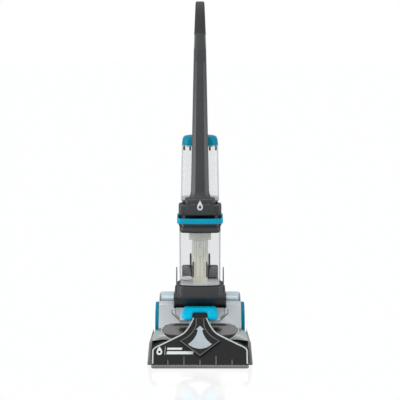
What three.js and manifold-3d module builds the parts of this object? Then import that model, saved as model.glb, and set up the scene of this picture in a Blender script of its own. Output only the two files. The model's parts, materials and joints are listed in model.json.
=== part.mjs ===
// Upright carpet cleaner: a wide floor head with a spinning brush, a body that reclines on it, a clear
// dirty-water tank at the front, a clean-water tank behind, and a leaning handle with a loop grip.
// Millimetres. X runs across the machine, Y to the back and Z up. The floor is Z = 0.
import * as THREE from "three";
import { mergeVertices } from "three/addons/utils/BufferGeometryUtils.js";
import Module from "manifold-3d";

// Driving dimensions
const GAP = 0.3; // between two pieces that rest on each other
const WALL = 3; // a moulded shell
const FRONT_Y = -165; // front edge of the lip
const REAR_Y = 165; // back of the loop grip
const HEIGHT = 1110;
const HEAD_HALF = 164; // half the width over the end caps

// The sloping front: one plane from the lip to the top of the release latch
const LIP_TOP = { y: -163, z: 12 };
const SLOPE = THREE.MathUtils.degToRad(48.4);
const LIP_HALF = 150.5;
const COVER_HALF = 148.8;

// Brush, its motor and the belt between them
const BRUSH = { y: -84, z: 33, radius: 30, half: 140 };
const CHAMBER_RADIUS = 33.5;
const BLOCK_HALF = 149; // half the width of the brush housing
const MOTOR = { y: -25, z: 40, radius: 19 };
const BELT_X = [149.9, 153.9];
const BRUSH_PULLEY_RADIUS = 17;
const MOTOR_PULLEY_RADIUS = 7;
const BELT_THICK = 2;

// Wheels and the pivot that the body reclines on
const WHEEL = { y: 82, z: 70, radius: 70, inner: 119, outer: 145 };
const PIVOT = { y: 62, z: 128 };
const DRUM_RADIUS = 49.5;
const DRUM_HALF = 82;
const BARREL = { radius: 52, inner: 84, outer: 131 };
const PIN_RADIUS = 9;

// Upright body
const PLATFORM_TOP = 197;
const TOWER_TOP = 276;
const COLLAR = { bottom: 456, top: 488, half: 67, front: -40, back: 104 };
const LEAN = THREE.MathUtils.degToRad(9.3); // of the handle
const BEAM = { bottom: 488, top: 930, front: -24, back: 8 };

// Dirty-water tank
const TANK = { half: 64.3, front: -58, back: 26, bottom: 231.5, top: 408 };
const BAIL_PIVOT = { y: -8, z: 445 };
const DRAIN = { x: -42, y: -28 };

// Clean-water tank
const CLEAN = { bottom: 488, top: 664, capTop: 692 };

const wasm = await Module();
wasm.setup();

// --- Solids ---------------------------------------------------------------------------------------

function solidOf(geometry) {
  const bare = geometry.index ? geometry.toNonIndexed() : geometry;
  const positions = new THREE.BufferGeometry();
  positions.setAttribute("position", bare.getAttribute("position"));
  const merged = mergeVertices(positions, 1e-3);
  return new wasm.Manifold(
    new wasm.Mesh({
      numProp: 3,
      vertProperties: merged.attributes.position.array,
      triVerts: new Uint32Array(merged.index.array),
    }),
  );
}

function geometryOf(solid) {
  const mesh = solid.getMesh();
  const geometry = new THREE.BufferGeometry();
  geometry.setAttribute("position", new THREE.BufferAttribute(mesh.vertProperties, 3));
  geometry.setIndex(new THREE.BufferAttribute(mesh.triVerts, 1));
  return geometry;
}

const union = (...pieces) => pieces.reduce((whole, piece) => whole.add(piece));
const without = (whole, ...cuts) => cuts.reduce((left, cut) => left.subtract(cut), whole);

function box(x0, x1, y0, y1, z0, z1) {
  const geometry = new THREE.BoxGeometry(x1 - x0, y1 - y0, z1 - z0);
  return solidOf(geometry.translate((x0 + x1) / 2, (y0 + y1) / 2, (z0 + z1) / 2));
}

// A cylinder between two stations along X, Y or Z.
function cylinder(axis, radius, from, to, centre, sides = 24, endRadius = radius) {
  const geometry = new THREE.CylinderGeometry(endRadius, radius, to - from, sides);
  if (axis === "x") geometry.rotateZ(-Math.PI / 2);
  if (axis === "z") geometry.rotateX(Math.PI / 2);
  const middle = { x: 0, y: 0, z: 0, ...centre };
  middle[axis] = (from + to) / 2;
  return solidOf(geometry.translate(middle.x, middle.y, middle.z));
}

const outline = (points) => new THREE.Shape(points.map(([a, b]) => new THREE.Vector2(a, b)));

// A front view is drawn in X and Z, and its depth runs towards the front.
const FRONT_VIEW = new THREE.Matrix4().makeBasis(
  new THREE.Vector3(1, 0, 0),
  new THREE.Vector3(0, 0, 1),
  new THREE.Vector3(0, -1, 0),
);

// A side view, drawn in Y and Z, made solid between two stations along X.
const SIDE_VIEW = new THREE.Matrix4().makeBasis(
  new THREE.Vector3(0, 1, 0),
  new THREE.Vector3(0, 0, 1),
  new THREE.Vector3(1, 0, 0),
);
function sideSlab(shape, x0, x1, options = {}) {
  const settings = { depth: x1 - x0, bevelEnabled: false, curveSegments: 8, ...options };
  const geometry = new THREE.ExtrudeGeometry(shape, settings);
  return geometry.translate(0, 0, x0).applyMatrix4(SIDE_VIEW);
}

// A plan view, drawn in X and Y, made solid between two heights.
function column(shape, z0, z1, steps = 1) {
  const settings = { depth: z1 - z0, bevelEnabled: false, curveSegments: 4, steps };
  return new THREE.ExtrudeGeometry(shape, settings).translate(0, 0, z0);
}

// Moves every point of a geometry by a rule.
function reshape(geometry, rule) {
  const position = geometry.getAttribute("position");
  const point = new THREE.Vector3();
  for (let i = 0; i < position.count; i += 1) {
    point.fromBufferAttribute(position, i);
    rule(point);
    position.setXYZ(i, point.x, point.y, point.z);
  }
  return geometry;
}

// A rectangle with round corners whose front side bows out by bow.
function roundedPlan(half, front, back, corner, bow = 0) {
  const shape = new THREE.Shape();
  const side = half - corner;
  shape.moveTo(side, back);
  shape.lineTo(-side, back);
  shape.absarc(-side, back - corner, corner, Math.PI / 2, Math.PI, false);
  shape.absarc(-side, front + bow + corner, corner, Math.PI, 1.5 * Math.PI, false);
  if (bow > 0) shape.quadraticCurveTo(0, front - bow, side, front + bow);
  shape.absarc(side, front + bow + corner, corner, -Math.PI / 2, 0, false);
  shape.absarc(side, back - corner, corner, 0, Math.PI / 2, false);
  return shape;
}

// A ring-shaped cup: the plan made solid, less a smaller plan from floor upwards.
function cup(plan, innerPlan, z0, z1, floor) {
  return without(solidOf(column(plan, z0, z1)), solidOf(column(innerPlan, z0 + floor, z1 + 1)));
}

// The outside of a belt, or of its inner face, round two wheels of different size.
function beltOutline(a, radiusA, b, radiusB) {
  const along = Math.atan2(b.z - a.z, b.y - a.y);
  const reach = Math.hypot(b.z - a.z, b.y - a.y);
  const open = Math.acos((radiusA - radiusB) / reach);
  const shape = new THREE.Shape();
  shape.absarc(a.y, a.z, radiusA, along + open, along - open + 2 * Math.PI, false);
  shape.absarc(b.y, b.z, radiusB, along - open, along + open, false);
  return shape;
}

// A plane parallel to the sloping front, at depth below it: the height at a given Y.
function slopeHeight(y, depth = 0) {
  return LIP_TOP.z + (y - LIP_TOP.y) * Math.tan(SLOPE) - depth / Math.cos(SLOPE);
}

// --- Materials and the scene graph ------------------------------------------------------------------

function material(color, roughness, metalness = 0, opacity = 1) {
  return new THREE.MeshStandardMaterial({
    color,
    roughness,
    metalness,
    opacity,
    transparent: opacity < 1,
  });
}
const GRAPHITE = material(0x434546, 0.45);
const BLACK = material(0x1f201e, 0.5);
const SMOKE = material(0x2b2b2b, 0.15);
const SILVER = material(0xb2b7ba, 0.3, 0.4);
const TRIM = material(0xacb1af, 0.3, 0.5);
const TEAL = material(0x0ca0c4, 0.3);
const CLEAR = material(0xe6ebec, 0.1, 0, 0.35);
const MILKY = material(0xb9b9af, 0.3, 0, 0.7);
const RUBBER = material(0x202020, 0.9);
const LIP_GREY = material(0x8a8a88, 0.5);
const STEEL = material(0xb8b8b8, 0.3, 1);
const SOFT_TOUCH = material(0x3a3a3a, 0.85);
const MOTOR_METAL = material(0x8c8f90, 0.4, 0.8);

const machine = new THREE.Group();

function group(parent, x = 0, y = 0, z = 0) {
  const made = new THREE.Group();
  made.position.set(x, y, z);
  parent.add(made);
  return made;
}

// Adds one named sub-part. Its solid is given in the frame of its group.
function add(parent, name, look, solid) {
  const mesh = new THREE.Mesh(geometryOf(solid), look);
  mesh.name = name;
  parent.add(mesh);
  return mesh;
}

const SIDES = [
  { name: "left", sign: -1 },
  { name: "right", sign: 1 },
];
const span = (sign, a, b) => (sign > 0 ? [a, b] : [-b, -a]);

// --- Floor head -------------------------------------------------------------------------------------

const BAY = { y0: -46, y1: -4, half: 138 }; // holds the brush motor, the pump and the spray bar
const SPRAY_X = [-90, -30, 30, 90];
const PEDAL_PIVOT = { y: 108, z: 72 };

// The room inside the head's rounded shoulders, or the same drawn in by inset. It drops towards the back.
function shoulderRoom(inset = 0) {
  const right = [
    [164.2, 0], [162, 50], [160.3, 60], [157, 70], [151.5, 78.5], [145, 86], [138, 92], [126, 98],
  ];
  const left = right.map(([x, z]) => [-x, z]).reverse();
  const section = [...right, ...left].map(([x, z]) => [x - Math.sign(x) * inset, z - inset]);
  const settings = { depth: 200, steps: 2, bevelEnabled: false };
  const block = new THREE.ExtrudeGeometry(outline(section), settings).translate(0, 0, -40);
  return solidOf(reshape(block.applyMatrix4(FRONT_VIEW), (point) => {
    point.z -= Math.max(0, point.y + 60) / 3;
  }));
}

function chassis() {
  const frontShape = outline([
    [-133, 6], [-118, 50], [-100, 66], [-84, 72], [2, 72], [2, 12], [-48, 12], [-48, 6],
  ]);
  const front = solidOf(sideSlab(frontShape, -BLOCK_HALF, BLOCK_HALF)).intersect(shoulderRoom());
  const pan = box(-116, 116, 1, 128, 20, 62);
  const chamberTop = cylinder("x", CHAMBER_RADIUS, -144, 144, BRUSH);
  const chamberMouth = box(-144, 144, BRUSH.y - CHAMBER_RADIUS, BRUSH.y + CHAMBER_RADIUS, -1, BRUSH.z);
  const bearingSeats = cylinder("x", 9.3, -150, 150, BRUSH);
  const shaftHole = cylinder("x", 5, -150, -135, MOTOR);
  const bay = box(-BAY.half, BAY.half, BAY.y0, BAY.y1, 16, 90);
  const panHollow = box(-112.5, 112.5, 4.5, 124.5, 24, 90);
  const body = union(front, pan);
  const axleSeats = cylinder("x", 5.3, -117, 117, WHEEL);
  const sprayHoles = SPRAY_X.map((x) => box(x - 3, x + 3, -76, -45, 61.5, 67.5));
  const pedalEars = SIDES.map(({ sign }) => box(...span(sign, 84.5, 87.5), 102, 114, 22, 77));
  const pedalBore = cylinder("x", 4.3, -90, 90, PEDAL_PIVOT, 12);
  const shell = without(
    body, chamberTop, chamberMouth, bearingSeats, shaftHole, bay, panHollow, axleSeats, ...sprayHoles,
  );
  return without(union(shell, ...pedalEars), pedalBore);
}

// Smoked cover over the top of the brush housing.
const HOOD_OUTLINE = [
  [-99, 72.3], [-88, 83], [-70, 91], [-50, 91], [-30, 82], [2, 79], [2, 72.3],
];
const hood = () =>
  solidOf(sideSlab(outline(HOOD_OUTLINE), -BLOCK_HALF, BLOCK_HALF)).intersect(shoulderRoom());

function brushHood() {
  const bay = box(-BAY.half, BAY.half, BAY.y0, BAY.y1, 72, 95);
  const chamberSide = solidOf(
    sideSlab(outline([[-92, 72.2], [-84, 79], [-69, 87], [-52, 87], [-49, 84], [-49, 72.2]]), -144, 144),
  );
  return without(hood(), bay, chamberSide);
}

function endCap(sign) {
  const rim = [[-143, 3], [-112, 70], [-98, 80], [-60, 84], [-5, 78], [0, 66], [0, 8], [-8, 3]];
  const inside = [[-137, 7], [-109, 67], [-96, 76], [-60, 80], [-8, 74], [-4, 64], [-4, 10], [-8, 7]];
  const block = solidOf(sideSlab(outline(rim), BLOCK_HALF + GAP, HEAD_HALF + 1));
  const hollow = solidOf(sideSlab(outline(inside), BLOCK_HALF, HEAD_HALF + 1));
  const cap = without(block.intersect(shoulderRoom()), hollow.intersect(shoulderRoom(WALL)));
  return sign > 0 ? cap : cap.mirror([1, 0, 0]);
}

// Silver shell over the back of the head: shoulders, and a raised seat for the release latch.
function baseCover() {
  const side = [
    [-64, 80], [-60, 98], [-6, 158], [6, 162], [100, 162], [124, 130], [130, 96], [130, 62.3],
    [2.3, 62.3], [2.3, 80],
  ];
  const inside = [
    [-58, 79], [-57, 96], [-3, 155], [7, 158], [98, 158], [121, 128], [127, 95], [127, 66],
    [5, 66], [5, 79],
  ];
  const shoulders = solidOf(sideSlab(outline(side), -BARREL.outer, BARREL.outer));
  const hollow = solidOf(sideSlab(outline(inside), -BARREL.outer + WALL, BARREL.outer - WALL));
  const bodyGap = union(
    box(-BARREL.inner, BARREL.inner, -24, 140, 137, 170),
    box(-BARREL.inner, BARREL.inner, PIVOT.y - 42, 140, 66, 170),
    cylinder("x", DRUM_RADIUS + 2.5, -BARREL.inner, BARREL.inner, PIVOT),
  );
  const barrels = cylinder("x", BARREL.radius + 0.4, -150, 150, PIVOT, 32);
  const wheelWells = cylinder("x", WHEEL.radius + 4, -150, -117.5, WHEEL)
    .add(cylinder("x", WHEEL.radius + 4, 117.5, 150, WHEEL));
  const seatTop = [[-19.5, slopeHeight(-19.5, 14.5)], [-13, 149], [-9, 137.5]];
  const seatRoom = [[-21, 145], [-15, 144], [-13, 137]];
  const spoutShape = outline([[-66, 92], [-66, slopeHeight(-66, 14.5)], ...seatTop, [-9, 92]]);
  const spoutRoom = outline([[-62, 88], [-62, 97], [-50, 112], ...seatRoom, [-13, 88]]);
  const ledgeShape = outline([[-48, 108], [-48, slopeHeight(-48, 14.5)], ...seatTop, [-9, 108]]);
  const ledgeRoom = outline([[-44.5, 104], [-44.5, 118.5], ...seatRoom, [-13, 104]]);
  const seat = union(solidOf(sideSlab(spoutShape, -34, 34)), solidOf(sideSlab(ledgeShape, -64, 64)));
  const seatHollow = union(solidOf(sideSlab(spoutRoom, -31, 31)), solidOf(sideSlab(ledgeRoom, -61, 61)));
  const port = box(-15, 15, -70, -56, 94.5, 100.5);
  const pedalSlots = SIDES.map(({ sign }) => box(...span(sign, 84, 116.5), 100, 132, 62, 92));
  const shell = union(without(shoulders, hollow, bodyGap, barrels, wheelWells), seat);
  const hoodRoom = union(hood(), hood().translate([0, -GAP, GAP]), hood().translate([0, GAP, GAP]));
  const axleRoom = cylinder("x", 5.6, -118, 118, WHEEL);
  return without(shell, seatHollow, port, hoodRoom, axleRoom, ...pedalSlots);
}

function pivotCover(sign) {
  const barrel = cylinder("x", BARREL.radius, ...span(sign, BARREL.inner, BARREL.outer), PIVOT, 32);
  const well = cylinder("x", WHEEL.radius + 4, ...span(sign, 117.5, 150), WHEEL);
  const room = cylinder("x", BARREL.radius - WALL, ...span(sign, BARREL.inner - 1, 114), PIVOT, 32);
  const boss = cylinder("x", 16, ...span(sign, BARREL.inner, 115), PIVOT);
  const bore = cylinder("x", PIN_RADIUS + 0.4, ...span(sign, 80, 106), PIVOT);
  const pedalRoom = box(...span(sign, 80, 117.6), 90, 120, 60, 112);
  return without(union(without(barrel, room), boss), well, bore, pedalRoom);
}

function suctionDuct() {
  const duct = box(-20, 20, -57, -16, 92, 103);
  const bore = box(-17, 17, -60, -12, 94.5, 100.5);
  return without(duct, bore);
}

function sprayBar() {
  const bar = cylinder("x", 3.5, -120, 120, { y: -38, z: 64.5 }, 12);
  const tips = SPRAY_X.map((x) => cylinder("y", 2.4, -52, -38, { x, z: 64.5 }, 8));
  return union(bar, ...tips);
}

function driveBelt() {
  const inner = beltOutline(BRUSH, BRUSH_PULLEY_RADIUS + GAP, MOTOR, MOTOR_PULLEY_RADIUS + GAP);
  const outer = beltOutline(
    BRUSH, BRUSH_PULLEY_RADIUS + GAP + BELT_THICK, MOTOR, MOTOR_PULLEY_RADIUS + GAP + BELT_THICK,
  );
  const [x0, x1] = span(-1, ...BELT_X);
  return without(solidOf(sideSlab(outer, x0, x1)), solidOf(sideSlab(inner, x0 - 1, x1 + 1)));
}

function waterPump() {
  const block = box(34, 72, -44, -8, 17, 52);
  const motor = cylinder("x", 15, 71, 112, { y: -26, z: 36 });
  const outlet = cylinder("z", 5, 51, 60, { x: 50, y: -20 }, 12);
  return union(block, motor, outlet);
}

const head = group(machine);
add(head, "chassis", BLACK, chassis());
add(head, "brush_hood", SMOKE, brushHood());
add(head, "base_cover", SILVER, baseCover());
add(head, "suction_duct", BLACK, suctionDuct());
add(head, "spray_bar", BLACK, sprayBar());
add(head, "drive_belt", RUBBER, driveBelt());
add(head, "water_pump", MOTOR_METAL, waterPump());
add(head, "brush_motor", MOTOR_METAL, cylinder("x", MOTOR.radius, -118, -40, MOTOR));
for (const { name, sign } of SIDES) {
  add(head, `end_cap_${name}`, SMOKE, endCap(sign));
  add(head, `pivot_cover_${name}`, SILVER, pivotCover(sign));
  const bearing = cylinder("x", 9, ...span(sign, 144.2, 149), BRUSH, 16);
  const bearingBore = cylinder("x", 4.3, ...span(sign, 143, 150), BRUSH, 16);
  add(head, `brush_bearing_${name}`, STEEL, without(bearing, bearingBore));
  add(head, `wheel_axle_${name}`, STEEL, cylinder("x", 5, ...span(sign, 96, 141), WHEEL, 16));
}

// --- Brush roll and its pulleys ---------------------------------------------------------------------

const TUFT_ROWS = 6;
const TUFT_TWIST = THREE.MathUtils.degToRad(80);

// A sleeve with rows of tufts that wind along it, centred on its axis.
function brushRoll() {
  const points = [];
  for (let row = 0; row < TUFT_ROWS; row += 1) {
    const middle = (row / TUFT_ROWS) * 2 * Math.PI;
    const at = (radius, turn) => [radius * Math.cos(middle + turn), radius * Math.sin(middle + turn)];
    points.push(at(14, -0.26), at(BRUSH.radius, -0.09), at(BRUSH.radius, 0.09), at(14, 0.26));
  }
  const length = 2 * BRUSH.half;
  const star = sideSlab(outline(points), -BRUSH.half, BRUSH.half, { steps: 10 });
  const wind = (point) => {
    const turn = (point.x / length) * TUFT_TWIST;
    const y = point.y * Math.cos(turn) - point.z * Math.sin(turn);
    point.z = point.y * Math.sin(turn) + point.z * Math.cos(turn);
    point.y = y;
  };
  const bore = cylinder("x", 4.5, -BRUSH.half - 1, BRUSH.half + 1, {}, 12);
  return without(solidOf(reshape(star, wind)), bore);
}

const brush = group(machine, 0, BRUSH.y, BRUSH.z);
add(brush, "brush_roll", BLACK, brushRoll());
const shaft = cylinder("x", 4, -154, 148.5, {}, 12);
add(brush, "brush_shaft", STEEL, shaft);
const pulleyX = span(-1, BELT_X[0] - GAP, BELT_X[1]);
const brushPulley = cylinder("x", BRUSH_PULLEY_RADIUS, ...pulleyX, {});
add(brush, "brush_pulley", BLACK, without(brushPulley, cylinder("x", 4.2, -160, -140, {}, 12)));

const motorShaft = group(machine, 0, MOTOR.y, MOTOR.z);
const motorPulley = union(
  cylinder("x", MOTOR_PULLEY_RADIUS, ...pulleyX, {}, 16),
  cylinder("x", 3, -150, -118.4, {}, 12),
);
add(motorShaft, "motor_pulley", STEEL, motorPulley);

// --- Nozzle: the front cover that lifts off ---------------------------------------------------------

// The cover's edge in its own plane: the lip is at the bottom and the neck at the top.
function coverShape(inset = 0) {
  const half = COVER_HALF - inset;
  const neck = 22.7 - inset;
  const shape = new THREE.Shape();
  const trace = (sign) => ({
    corner: new THREE.Vector2(sign * half, 46),
    shoulder: new THREE.Vector2(sign * (125 - inset), 68 - inset),
    waist: new THREE.Vector2(sign * (62 - inset), 101.5 - inset),
    neck: new THREE.Vector2(sign * neck, 160 - inset),
  });
  const right = trace(1);
  const left = trace(-1);
  shape.moveTo(-half, inset);
  shape.lineTo(half, inset);
  shape.lineTo(right.corner.x, right.corner.y);
  shape.quadraticCurveTo(half, 58 - inset, right.shoulder.x, right.shoulder.y);
  shape.lineTo(right.waist.x, right.waist.y);
  shape.quadraticCurveTo(41 - inset, 113 - inset, right.neck.x, right.neck.y);
  shape.lineTo(left.neck.x, left.neck.y);
  shape.quadraticCurveTo(-41 + inset, 113 - inset, left.waist.x, left.waist.y);
  shape.lineTo(left.shoulder.x, left.shoulder.y);
  shape.quadraticCurveTo(-half, 58 - inset, left.corner.x, left.corner.y);
  return shape;
}

// The raised channel that gathers the water towards the neck.
function channelShape(inset = 0) {
  const shape = new THREE.Shape();
  const wide = 64.4 - inset;
  shape.moveTo(0, 25 + inset);
  shape.lineTo(wide, 76.5);
  shape.quadraticCurveTo(26 - inset, 96 - inset, 16 - inset, 131 - inset);
  shape.lineTo(15 - inset, 154.5 - inset);
  shape.lineTo(-15 + inset, 154.5 - inset);
  shape.lineTo(-16 + inset, 131 - inset);
  shape.quadraticCurveTo(-26 + inset, 96 - inset, -wide, 76.5);
  return shape;
}

function plate(shape, z0, z1) {
  const settings = { depth: z1 - z0, bevelEnabled: false, curveSegments: 5 };
  return solidOf(new THREE.ExtrudeGeometry(shape, settings).translate(0, 0, z0));
}

// Ribs stand up from the lip. The second and the fourth are taller.
function nozzleCover() {
  const opening = plate(channelShape(4), -8, 1);
  const shell = without(plate(coverShape(), -6, 0), plate(coverShape(3), -7, -2.5), opening);
  const ribs = [-2, -1, 0, 1, 2].map((place) => {
    const top = Math.abs(place) === 1 ? 29 : 17;
    return box(49.5 * place - 1.2, 49.5 * place + 1.2, 3, top, -1, 1.6);
  });
  const lipRoom = box(-200, 200, -20, 20, -20, -0.4).rotate([-THREE.MathUtils.radToDeg(SLOPE), 0, 0]);
  return without(union(shell, ...ribs), lipRoom);
}

function nozzleTrim() {
  const openEnd = box(-COVER_HALF + 5, COVER_HALF - 5, -1, 12, 0, 3);
  return without(plate(coverShape(0.6), GAP, 2.4), plate(coverShape(5), 0, 3), openEnd);
}

const nozzle = group(machine, 0, LIP_TOP.y, LIP_TOP.z);
nozzle.rotation.x = SLOPE;
add(nozzle, "nozzle_cover", SMOKE, nozzleCover());
const dome = without(plate(channelShape(), GAP, 9), plate(channelShape(3), -1, 6.5));
add(nozzle, "suction_channel", SMOKE, dome);
add(nozzle, "nozzle_trim", TRIM, nozzleTrim());

const nozzleFoot = group(machine);
add(nozzleFoot, "nozzle_lip", LIP_GREY, box(-LIP_HALF, LIP_HALF, FRONT_Y, -155, 2.5, 11.3));
add(nozzleFoot, "squeegee", RUBBER, box(-147, 147, -161.5, -157.5, 0, 2.5 - GAP));

// --- Release latch of the nozzle --------------------------------------------------------------------

const LATCH = { from: 154.5, to: 201, half: 58, thick: 13.8, notch: 24.5, notchTop: 180 };
const LATCH_PIVOT = { y: 194, z: -7 }; // in the latch's own plane

function latchShape() {
  const shape = new THREE.Shape();
  const side = LATCH.half;
  shape.moveTo(side - 11, LATCH.from);
  shape.lineTo(side - 1, LATCH.from + 10);
  shape.lineTo(side, LATCH.from + 21);
  shape.lineTo(side - 10, LATCH.to);
  shape.lineTo(-side + 10, LATCH.to);
  shape.lineTo(-side, LATCH.from + 21);
  shape.lineTo(-side + 1, LATCH.from + 10);
  shape.lineTo(-side + 11, LATCH.from);
  shape.lineTo(-LATCH.notch - 3, LATCH.from);
  shape.lineTo(-LATCH.notch, LATCH.notchTop - 8);
  shape.quadraticCurveTo(-LATCH.notch, LATCH.notchTop, -LATCH.notch + 8, LATCH.notchTop);
  shape.lineTo(LATCH.notch - 8, LATCH.notchTop);
  shape.quadraticCurveTo(LATCH.notch, LATCH.notchTop, LATCH.notch, LATCH.notchTop - 8);
  shape.lineTo(LATCH.notch + 3, LATCH.from);
  return shape;
}

const latch = group(machine, 0, LIP_TOP.y, LIP_TOP.z);
latch.rotation.x = SLOPE;
const latchHeel = box(-60, 60, LATCH_PIVOT.y, 210, -20, LATCH_PIVOT.z);
const latchBarrel = cylinder("x", 6.7, -LATCH.half + 10, LATCH.half - 10, LATCH_PIVOT, 16);
const latchPlate = without(plate(latchShape(), -LATCH.thick, 0), latchHeel);
add(latch, "nozzle_latch", TEAL, union(latchPlate, latchBarrel));

// --- Wheels -----------------------------------------------------------------------------------------

for (const { name, sign } of SIDES) {
  const wheel = group(machine, 0, WHEEL.y, WHEEL.z);
  const bore = cylinder("x", 5.3, ...span(sign, 110, 142), {}, 16);
  const disc = cylinder("x", WHEEL.radius - 1, ...span(sign, 131, WHEEL.outer), {}, 36);
  const dish = cylinder("x", WHEEL.radius - 8, ...span(sign, 138, WHEEL.outer + 1), {}, 36);
  const boss = cylinder("x", 20, ...span(sign, WHEEL.inner, WHEEL.outer - 1), {}, 16);
  const rim = cylinder("x", WHEEL.radius - 9, ...span(sign, WHEEL.inner, 132), {}, 36);
  const rimHollow = cylinder("x", WHEEL.radius - 13, ...span(sign, WHEEL.inner - 1, 131), {}, 36);
  const hub = without(union(without(disc, dish), without(rim, rimHollow), boss), bore);
  const tread = cylinder("x", WHEEL.radius, ...span(sign, WHEEL.inner, 131 - GAP), {}, 36);
  const seat = cylinder("x", WHEEL.radius - 9 + GAP, ...span(sign, WHEEL.inner - 1, 132), {}, 36);
  add(wheel, `wheel_hub_${name}`, TEAL, hub);
  add(wheel, `tyre_${name}`, RUBBER, without(tread, seat));
}

// --- Pedals at the back of the head -----------------------------------------------------------------

function pedal(sign) {
  const [x0, x1] = span(sign, 88.5, 115);
  const lever = box(x0, x1, 108, 134, 69, 75);
  const tread = box(x0, x1, 133, 158, 68, 78);
  const pin = cylinder("x", 4, ...span(sign, 84, 115), PEDAL_PIVOT, 12);
  return union(lever, tread, pin);
}
add(machine, "recline_pedal", GRAPHITE, pedal(-1));
add(machine, "power_pedal", GRAPHITE, pedal(1));

// --- Upright body -----------------------------------------------------------------------------------

function bodyHousing() {
  const drum = cylinder("x", DRUM_RADIUS, -DRUM_HALF, DRUM_HALF, PIVOT, 32);
  const lowerShape = outline([
    [14.6, 142], [-8, 150], [-44, 190], [-44, 191.7], [104, 191.7], [108, 160], [111, 132], [62, 110],
  ]);
  const lower = solidOf(sideSlab(lowerShape, -DRUM_HALF, DRUM_HALF));
  const tower = solidOf(column(roundedPlan(58, 33.7, 104, 14), 190, TOWER_TOP));
  const posts = SIDES.map(({ sign }) => box(...span(sign, 27, 33), 36, 62, 270, 311));
  const motorRoom = box(-54, 54, 38, 100, 112, 272);
  const window = box(-36, 36, 96, 110, 205, 257);
  const pinHoles = cylinder("x", PIN_RADIUS + 0.2, -83, -58, PIVOT).add(
    cylinder("x", PIN_RADIUS + 0.2, 58, 83, PIVOT),
  );
  const ductHole = box(-14, 14, 40, 60, 265, 280);
  return without(union(drum, lower, tower, ...posts), motorRoom, window, pinHoles, ductHole);
}

function exhaustGrille() {
  const panel = box(-36 + GAP, 36 - GAP, 100.4, 104, 205 + GAP, 257 - GAP);
  const slots = [0, 1, 2, 3, 4, 5].map((i) => box(-30, 30, 99, 105, 211 + 7 * i, 214.5 + 7 * i));
  return without(panel, ...slots);
}

// The shelf under the dirty-water tank, with cheeks that guide its sides.
function tankCradle() {
  const shelf = solidOf(column(roundedPlan(76, -55, 33.4, 18, 4), 192, PLATFORM_TOP));
  const cheekShape = outline([[-5, 196], [-2, 230], [14, 268], [22, 272], [33.4, 272], [33.4, 196]]);
  const cheeks = SIDES.map(({ sign }) => solidOf(sideSlab(cheekShape, ...span(sign, 72.8, 76))));
  return union(shelf, ...cheeks);
}

function spine() {
  const tube = solidOf(column(roundedPlan(26, 34, 64, 6), TOWER_TOP + GAP, COLLAR.bottom - GAP));
  const bore = solidOf(column(roundedPlan(23.5, 36.5, 61.5, 4), TOWER_TOP - 1, COLLAR.bottom + 1));
  return without(tube, bore);
}

// The collar in plan is a wide band at the front, with a narrower seat for the clean-water tank behind it.
const collarBand = () => roundedPlan(COLLAR.half, COLLAR.front, 16, 12, 2);
const collarSeat = () => roundedPlan(57, -20, COLLAR.back, 14);

// The handle's apron: it spreads down over the front of the collar, in a recess of its own shape.
function apron(grow = 0) {
  const edge = [[50, 457], [38, 489], [38, 494], [-38, 494], [-38, 489], [-50, 457]];
  const view = outline(edge.map(([x, z]) => [x + Math.sign(x) * grow, z < 480 ? z - grow : z]));
  const settings = { depth: 20, bevelEnabled: false };
  const slab = new THREE.ExtrudeGeometry(view, settings).translate(0, 0, 36.5 - grow);
  return solidOf(slab.applyMatrix4(FRONT_VIEW));
}

function collar() {
  const band = solidOf(column(collarBand(), COLLAR.bottom, COLLAR.top));
  const body = union(band, solidOf(column(collarSeat(), COLLAR.bottom, COLLAR.top)));
  const frontPocket = solidOf(column(roundedPlan(62, -31, 11, 9), COLLAR.bottom - 1, COLLAR.top - 6));
  const rearPocket = solidOf(column(roundedPlan(53, 68, 99, 12), COLLAR.bottom - 1, COLLAR.top - 9));
  const seat = cylinder("z", 17, COLLAR.top - 7, COLLAR.top + 1, { y: 60 });
  const skirt = without(
    solidOf(column(roundedPlan(57, 29, 100, 14), 428, COLLAR.bottom + 1)),
    solidOf(column(roundedPlan(54, 32.5, 97, 11), 427, COLLAR.bottom + 2)),
  );
  return union(without(body, frontPocket, rearPocket, seat, apron(GAP)), skirt);
}

// Half the width of the handle at a height.
function handleHalf(z) {
  const share = (z - BEAM.bottom) / (HEIGHT - BEAM.bottom);
  return 29 - 13 * share;
}
const leanOffset = (z) => (z - BEAM.bottom) * Math.tan(LEAN);

// A hollow beam with bevelled front corners, wider at its foot, leaning back.
function handleBeam() {
  const front = BEAM.front;
  const back = BEAM.back;
  const section = outline([
    [-0.55, front], [0.55, front], [1, front + 9], [1, back - 6], [0.82, back],
    [-0.82, back], [-1, back - 6], [-1, front + 9],
  ]);
  const room = outline([
    [-0.45, front + 5], [0.45, front + 5], [0.78, -8], [0.78, 3], [-0.78, 3], [-0.78, -8],
  ]);
  const rise = (point) => {
    const flare = Math.max(0, 1 - (point.z - BEAM.bottom) / 24) ** 2;
    if (point.y < 0) point.y -= 13 * flare;
    point.x *= handleHalf(point.z) * (1 + 0.35 * flare);
    point.y += leanOffset(point.z);
  };
  const outside = solidOf(reshape(column(section, BEAM.bottom + GAP, BEAM.top, 18), rise));
  const inside = solidOf(reshape(column(room, BEAM.bottom - 2, BEAM.top + 2, 4), rise));
  const foot = solidOf(column(roundedPlan(47, -36, 9.5, 12, 2), BEAM.bottom + GAP, 507));
  const frontPiece = apron().intersect(solidOf(column(collarBand(), 450, 500)));
  return without(union(outside, foot, frontPiece), inside);
}

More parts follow.
